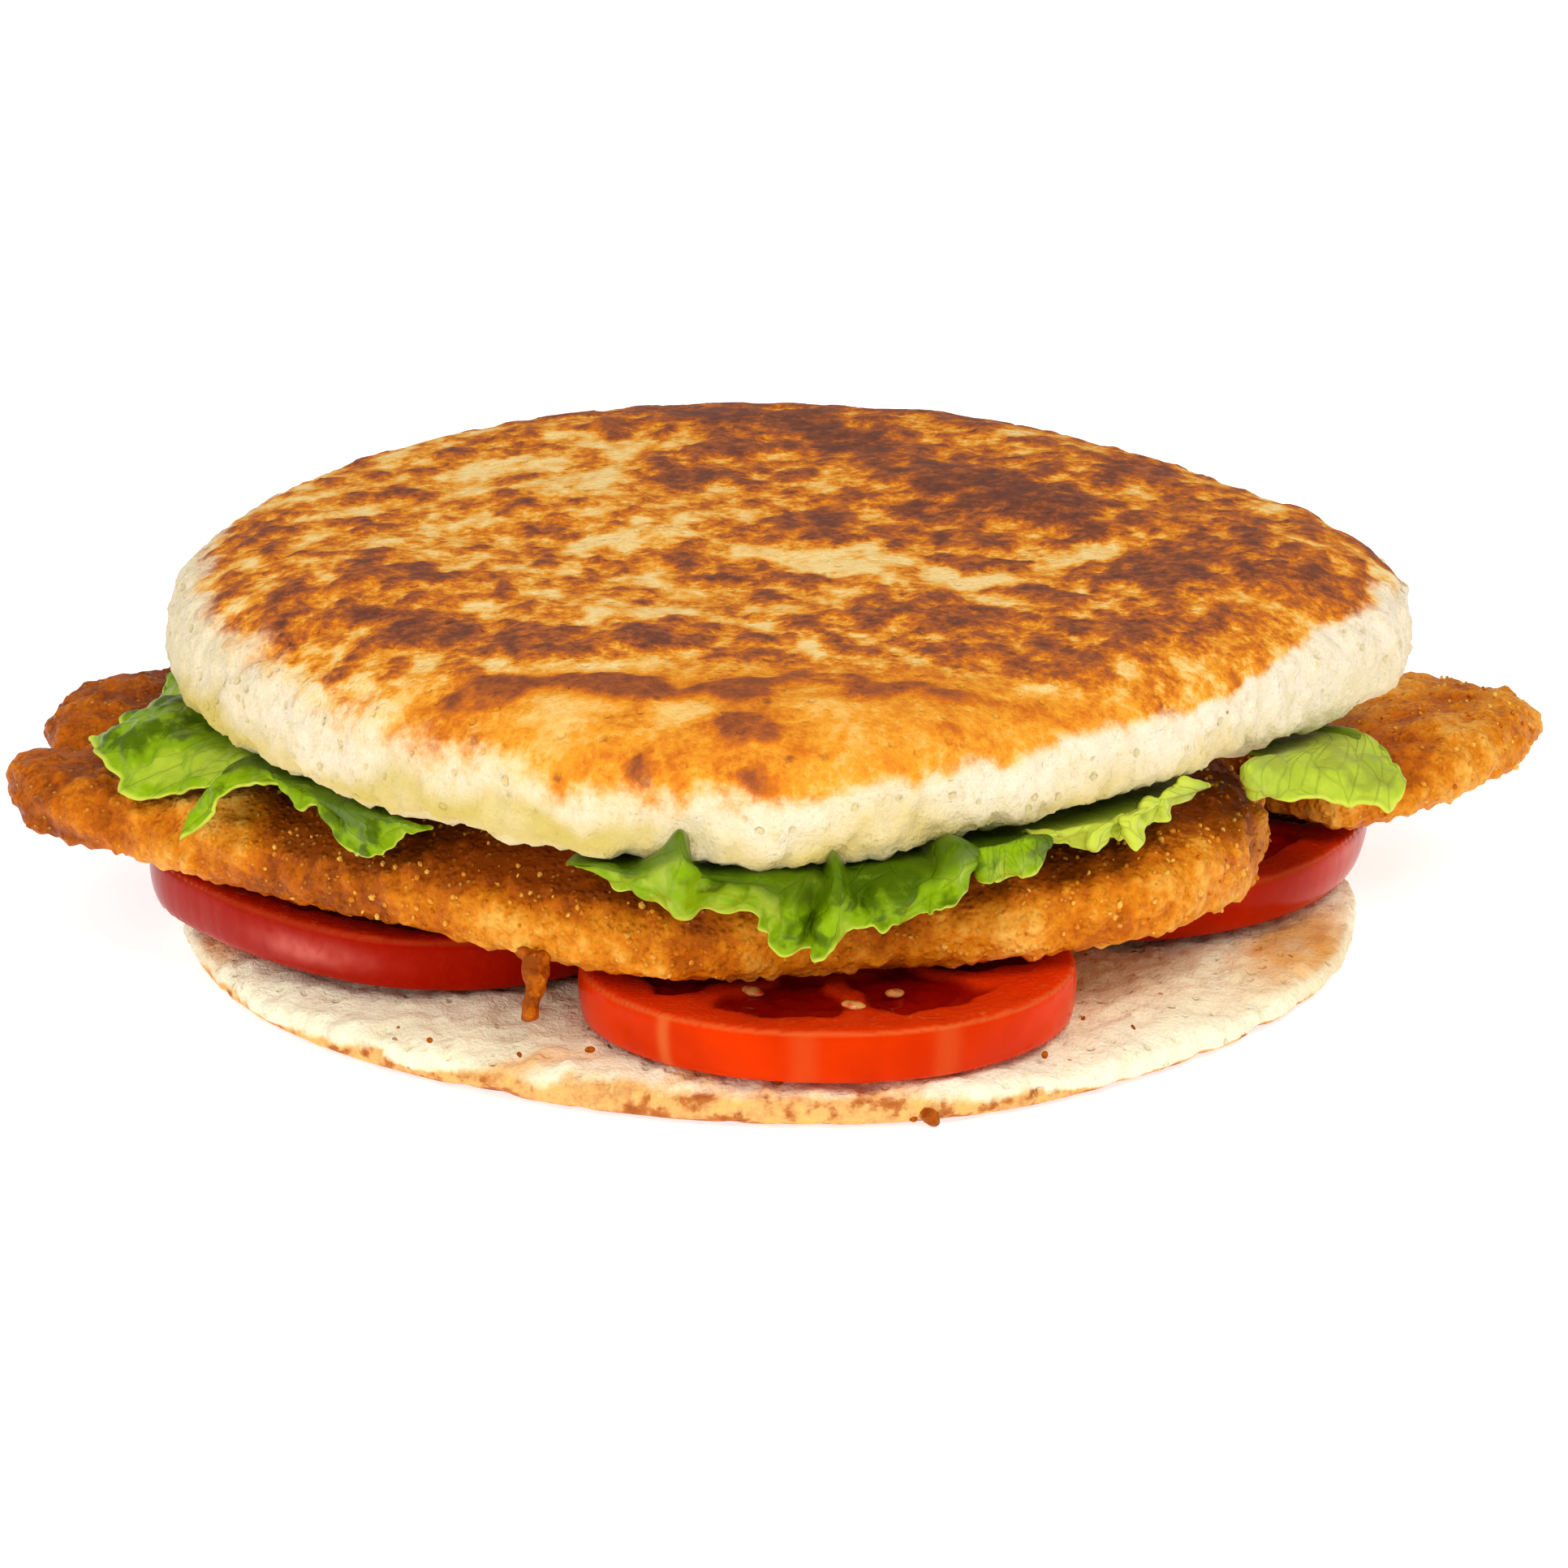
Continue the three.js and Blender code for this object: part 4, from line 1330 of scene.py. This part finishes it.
def ruffled_strip(start, end, columns, reach, droop, seed):
    """Columns of points for a leaf that runs round the filling between two directions in degrees."""
    chance = np.random.default_rng(seed)
    strip = []
    for number in range(columns):
        share = number / (columns - 1)
        angle = math.radians(start + (end - start) * share)
        swing = math.sin(number * 2.4) * 0.5 + chance.uniform(-0.4, 0.4)
        width = math.sin(math.pi * share) ** 0.5
        rows = []
        inner = reach - 10
        root = (reach - 12, 0)
        belly = (reach - 3 + swing * 2, swing)
        edge = (reach + swing * 1.5, -droop)
        for radius, lift in (root, belly, edge):
            r = inner + (radius - inner) * (0.25 + 0.75 * width)
            height = LEAF_TOP + lift * (0.3 + 0.7 * width)
            rows.append((r * math.cos(angle), r * math.sin(angle), height))
        strip.append(rows)
    return strip


LEAVES["back"] = ruffled_strip(78, 38, 15, 81, 5.5, 3)
LEAVES["back_left"] = ruffled_strip(140, 102, 14, 82, 5.5, 4)
LEAF_NODES = {side: "lettuce_" + side for side in LEAVES if side != "front_fold"}


def smooth_rows(rows, shares):
    """Reads a row of points at shares from 0 to 1 along a curve through them."""
    rows = np.asarray(rows, float)
    last = len(rows) - 1
    at = np.clip(shares * last, 0, last - 1e-6)
    left = np.floor(at).astype(int)
    t = (at - left)[(...,) + (None,) * (rows.ndim - 1)]
    before, first, second, after = (rows[np.clip(left + k, 0, last)] for k in (-1, 0, 1, 2))
    slope_one = (second - before) / 2
    slope_two = (after - first) / 2
    bend = 3 * (second - first) - 2 * slope_one - slope_two
    twist = 2 * (first - second) + slope_one + slope_two
    return first + slope_one * t + bend * t**2 + twist * t**3


def leaf_surface(columns, along, seed):
    """Points of a ruffled leaf, in `along` columns of LEAF_ROWS each, and how folded each one is."""
    columns = np.asarray(columns, float)
    pull = columns[:, 0] * (1, 1, 0)
    pull /= np.linalg.norm(pull, axis=1)[:, None]
    root = columns[:, 0] - pull * ROOT_PULL
    root[:, 2] = ROOT_HEIGHT
    columns = np.concatenate([root[:, None], columns], axis=1)
    u = np.linspace(0, 1, along)
    v = np.linspace(0, 1, LEAF_ROWS)
    spread = smooth_rows(columns, u)
    sheet = np.stack([smooth_rows(line, v) for line in spread], axis=0)
    grow = sheet[:, -1] - sheet[:, -2]
    grow /= np.linalg.norm(grow, axis=1)[:, None] + 1e-9
    line = np.stack([u * len(columns) * 3.1, np.zeros(along), np.zeros(along)], axis=1)
    ragged = noise(line, 2.6, seed=seed, octaves=3) * 1.1
    sheet += grow[:, None] * (ragged[:, None] * rise(v, 0.8, 1)[None])[..., None]
    du = np.gradient(sheet, axis=0)
    dv = np.gradient(sheet, axis=1)
    normal = np.cross(du, dv)
    normal /= np.linalg.norm(normal, axis=-1)[..., None] + 1e-9
    flat = sheet.reshape(-1, 3)
    blister = noise(flat, 2.8, seed=seed + 1, octaves=2).reshape(along, LEAF_ROWS)
    fold = noise(flat, 8, seed=seed + 2).reshape(along, LEAF_ROWS)
    free = rise(v, 0.4, 0.75)[None]
    fold = np.clip(fold * 1.2 + blister * 0.5, -1, 1)
    return sheet + normal * ((fold * 0.9 + blister * 0.45) * free)[..., None], fold


# How pale each leaf is, and the share of its reach, from the root, that gets painted shade from the upper
# half.
LEAF_PALENESS_AND_SHADE = {
    "left": (0, 0.5), "left_curl": (0, 0.66), "front": (0, 0.68), "front_fold": (0, 0.55),
    "front_right": (0.8, 0.45), "right": (0.5, 0.4), "back": (0.3, 0.5), "back_left": (0.1, 0.55),
}


def leaf_finish(name, settings):
    """Fresh lettuce: painted ridge highlights, painted shade in folds and at the root, pale rim, veins,
    wet gloss.
    """
    finish = Finish(name, roughness=0.3, Specular_IOR_Level=0.22, Specular_Tint=(0.9, 1, 0.15, 1))
    finish.soften(0.12, (0.6, 1, 0.1), 1.2)
    sheet = finish.add("ShaderNodeUVMap").outputs["UV"]
    stretch = finish.add("ShaderNodeMapping")
    finish.feed(stretch.inputs["Vector"], sheet)
    stretch.inputs["Scale"].default_value = (9, 3.2, 1)
    veins = finish.add("ShaderNodeTexVoronoi", feature="DISTANCE_TO_EDGE")
    finish.feed(veins.inputs["Vector"], stretch.outputs["Vector"])
    veins.inputs["Scale"].default_value = 1.0
    vein = finish.step(veins.outputs["Distance"], 0.0, 0.05, 1, 0)
    patches = finish.noise(3.6, detail=4)
    small = finish.noise(1.3, detail=4)
    reach = finish.painted("rim")
    # Painted shade in the folds and painted highlight on the ridges, following how folded the sheet is,
    # with random patches.
    fold = finish.sum(finish.painted("fold"), finish.step(patches, 0.3, 0.7, -0.6, 0.6))
    bright = finish.sum(finish.step(fold, 0.1, 0.9), finish.step(small, 0.5, 0.8, 0, 0.2))
    shade = finish.mix(finish.step(fold, -0.1, -0.9, 0, 0.9), settings.green, settings.dark)
    shade = finish.mix(finish.times(bright, 0.4), shade, settings.pale)
    shade = finish.mix(finish.painted("pale"), shade, settings.pale)
    shade = finish.mix(finish.times(vein, 0.16), shade, settings.dark)
    # Painted shade near the root, where the upper half shades the leaf.
    shade = finish.mix(finish.times(finish.painted("inner"), 0.85), shade, settings.dark)
    shade = finish.mix(finish.step(reach, 0.94, 0.985, 0, 0.8), shade, settings.pale)
    relief = finish.sum(finish.times(vein, -0.2), finish.times(small, 0.5))
    return finish.done(shade, finish.bump(relief, 0.4))


def make_lettuce(settings):
    """All the leaves, each a ruffled sheet made thick and smooth."""
    finish = leaf_finish("lettuce", settings)
    for number, (side, columns) in enumerate(LEAVES.items()):
        span = sum(math.dist(a[-1], b[-1]) for a, b in zip(columns, columns[1:]))
        along = int(span / LEAF_SPACING) + 2
        bpy.ops.object.select_all(action="DESELECT")
        bpy.ops.mesh.primitive_grid_add(
            x_subdivisions=along - 1, y_subdivisions=LEAF_ROWS - 1, size=1, calc_uvs=True
        )
        piece = added("lettuce_leaf_" + side)
        sheet, fold = leaf_surface(columns, along, 161 + 7 * number)
        place_points(piece, sheet.transpose(1, 0, 2).reshape(-1, 3))
        pale, depth = LEAF_PALENESS_AND_SHADE[side]
        reach = np.repeat(np.linspace(0, 1, LEAF_ROWS), along)
        paint(piece, "rim", reach)
        paint(piece, "fold", fold.T.ravel())
        paint(piece, "pale", np.full(len(reach), pale))
        # Painted shade: the part of the leaf near the root, under the upper half, is darkened.
        paint(piece, "inner", rise(depth - reach, -0.12, 0.16))
        finish_with(piece, "SOLIDIFY", thickness=settings.thickness, offset=0)
        finish_with(piece, "SUBSURF", levels=1, render_levels=1)
        smooth_shaded(piece)
        nodes = [LEAF_NODES[side]] if side in LEAF_NODES else []
        complete(piece, finish, "lettuce", *nodes)


# ---------- stage ----------
# Sizes and places in metres; each round light has its width and its place.
FLOOR_SIZE = 8
FLOOR_MIDDLE = (0, 2, 0)
LIGHT_AIM = (0, 0, 0.02)
KEY_LIGHT = (0.7, (0.45, -0.7, 0.95))
FILL_LIGHT = (1.0, (-0.75, -0.85, 0.65))


def soft_light(name, power, size, place):
    """A round area light that faces the arepa."""
    data = bpy.data.lights.new(name, "AREA")
    data.shape = "DISK"
    data.size = size
    data.energy = power
    light = bpy.data.objects.new(name, data)
    bpy.context.scene.collection.objects.link(light)
    light.location = place
    light.rotation_euler = (Vector(LIGHT_AIM) - Vector(place)).to_track_quat("-Z", "Y").to_euler()


def make_stage(settings):
    """Floor, camera, daylight and the two soft lights."""
    bpy.ops.object.select_all(action="DESELECT")
    bpy.ops.mesh.primitive_plane_add(size=FLOOR_SIZE, location=FLOOR_MIDDLE)
    floor = added("floor")
    glow = {"Emission_Color": (1, 1, 1, 1), "Emission_Strength": settings.glow}
    finish = Finish("pale_floor", roughness=0.9, **glow)
    mottle = finish.noise(300, detail=2)
    shade = finish.mix(finish.step(mottle, 0, 1, 0, 0.05), settings.floor, (1, 1, 1))
    floor.data.materials.append(finish.done(shade))

    aim = Vector(settings.aim)
    tilt = settings.elevation
    camera = bpy.data.objects.new("camera", bpy.data.cameras.new("camera"))
    bpy.context.scene.collection.objects.link(camera)
    camera.data.lens = settings.lens
    camera.data.clip_start = 0.05
    camera.location = aim - Vector((0, math.cos(tilt), -math.sin(tilt))) * settings.distance
    camera.rotation_euler = (math.pi / 2 - tilt, 0, 0)
    bpy.context.scene.camera = camera

    world = bpy.context.scene.world or bpy.data.worlds.new("daylight")
    bpy.context.scene.world = world
    world.use_nodes = True
    sky = world.node_tree.nodes["Background"]
    sky.inputs["Color"].default_value = (1, 1, 1, 1)
    sky.inputs["Strength"].default_value = settings.daylight
    soft_light("key_light", settings.key, *KEY_LIGHT)
    soft_light("fill_light", settings.fill, *FILL_LIGHT)
    bpy.context.scene.view_settings.view_transform = "Standard"


# ---------- operators and panel ----------
class AREPA_OT_base(bpy.types.Operator):
    """Make the cut lower half of the corn cake."""

    bl_idname = "arepa.base"
    bl_label = "Lower half"
    bl_options = {"REGISTER", "UNDO"}

    def execute(self, context):
        make_base(context.scene.arepa_cake)
        return {"FINISHED"}


class AREPA_OT_lid(bpy.types.Operator):
    """Make the griddled upper half of the corn cake."""

    bl_idname = "arepa.lid"
    bl_label = "Upper half"
    bl_options = {"REGISTER", "UNDO"}

    def execute(self, context):
        make_lid(context.scene.arepa_cake)
        return {"FINISHED"}


class AREPA_OT_tomatoes(bpy.types.Operator):
    """Make the four tomato slices."""

    bl_idname = "arepa.tomatoes"
    bl_label = "Tomato slices"
    bl_options = {"REGISTER", "UNDO"}

    def execute(self, context):
        make_tomatoes(context.scene.arepa_tomato)
        return {"FINISHED"}


class AREPA_OT_seeds(bpy.types.Operator):
    """Make the seeds in the tomato's gel."""

    bl_idname = "arepa.seeds"
    bl_label = "Tomato seeds"
    bl_options = {"REGISTER", "UNDO"}

    def execute(self, context):
        make_seeds(context.scene.arepa_tomato)
        return {"FINISHED"}


class AREPA_OT_fillets(bpy.types.Operator):
    """Make the two crumbed fillets."""

    bl_idname = "arepa.fillets"
    bl_label = "Fillets"
    bl_options = {"REGISTER", "UNDO"}

    def execute(self, context):
        make_fillets(context.scene.arepa_fillet)
        return {"FINISHED"}


class AREPA_OT_grains(bpy.types.Operator):
    """Scatter loose grains over the coating."""

    bl_idname = "arepa.grains"
    bl_label = "Coating grains"
    bl_options = {"REGISTER", "UNDO"}

    def execute(self, context):
        make_grains(context.scene.arepa_fillet)
        return {"FINISHED"}


class AREPA_OT_drip(bpy.types.Operator):
    """Make the drip of fried batter."""

    bl_idname = "arepa.drip"
    bl_label = "Batter drip"
    bl_options = {"REGISTER", "UNDO"}

    def execute(self, context):
        make_drip(context.scene.arepa_fillet)
        return {"FINISHED"}


class AREPA_OT_crumbs(bpy.types.Operator):
    """Scatter the crumbs that fell off."""

    bl_idname = "arepa.crumbs"
    bl_label = "Loose crumbs"
    bl_options = {"REGISTER", "UNDO"}

    def execute(self, context):
        make_loose_crumbs(context.scene.arepa_fillet)
        return {"FINISHED"}


class AREPA_OT_lettuce(bpy.types.Operator):
    """Make the lettuce leaves."""

    bl_idname = "arepa.lettuce"
    bl_label = "Lettuce"
    bl_options = {"REGISTER", "UNDO"}

    def execute(self, context):
        make_lettuce(context.scene.arepa_lettuce)
        return {"FINISHED"}


class AREPA_OT_stage(bpy.types.Operator):
    """Make the floor, the camera and the lights."""

    bl_idname = "arepa.stage"
    bl_label = "Stage"
    bl_options = {"REGISTER", "UNDO"}

    def execute(self, context):
        make_stage(context.scene.arepa_stage)
        return {"FINISHED"}


OPERATORS = [
    AREPA_OT_base, AREPA_OT_lid, AREPA_OT_tomatoes, AREPA_OT_seeds, AREPA_OT_fillets, AREPA_OT_grains,
    AREPA_OT_drip, AREPA_OT_crumbs, AREPA_OT_lettuce, AREPA_OT_stage,
]


class AREPA_PT_pieces(bpy.types.Panel):
    """Lists the settings and the makers in the sidebar."""

    bl_label = "Arepa"
    bl_idname = "AREPA_PT_pieces"
    bl_space_type = "VIEW_3D"
    bl_region_type = "UI"
    bl_category = "Arepa"

    def draw(self, context):
        for name in SETTINGS:
            box = self.layout.box()
            settings = getattr(context.scene, name)
            for prop in settings.bl_rna.properties:
                if prop.identifier not in ("rna_type", "name"):
                    box.prop(settings, prop.identifier)
        for operator in OPERATORS:
            self.layout.operator(operator.bl_idname)


def register():
    for name, group in SETTINGS.items():
        bpy.utils.register_class(group)
        setattr(bpy.types.Scene, name, bpy.props.PointerProperty(type=group))
    for operator in OPERATORS:
        bpy.utils.register_class(operator)
    bpy.utils.register_class(AREPA_PT_pieces)


def unregister():
    bpy.utils.unregister_class(AREPA_PT_pieces)
    for operator in reversed(OPERATORS):
        bpy.utils.unregister_class(operator)
    for name, group in SETTINGS.items():
        delattr(bpy.types.Scene, name)
        bpy.utils.unregister_class(group)


def main():
    register()
    bpy.ops.arepa.base()
    bpy.ops.arepa.lid()
    bpy.ops.arepa.tomatoes()
    bpy.ops.arepa.seeds()
    bpy.ops.arepa.fillets()
    bpy.ops.arepa.grains()
    bpy.ops.arepa.drip()
    bpy.ops.arepa.crumbs()
    bpy.ops.arepa.lettuce()
    bpy.ops.arepa.stage()


if __name__ == "__main__":
    main()
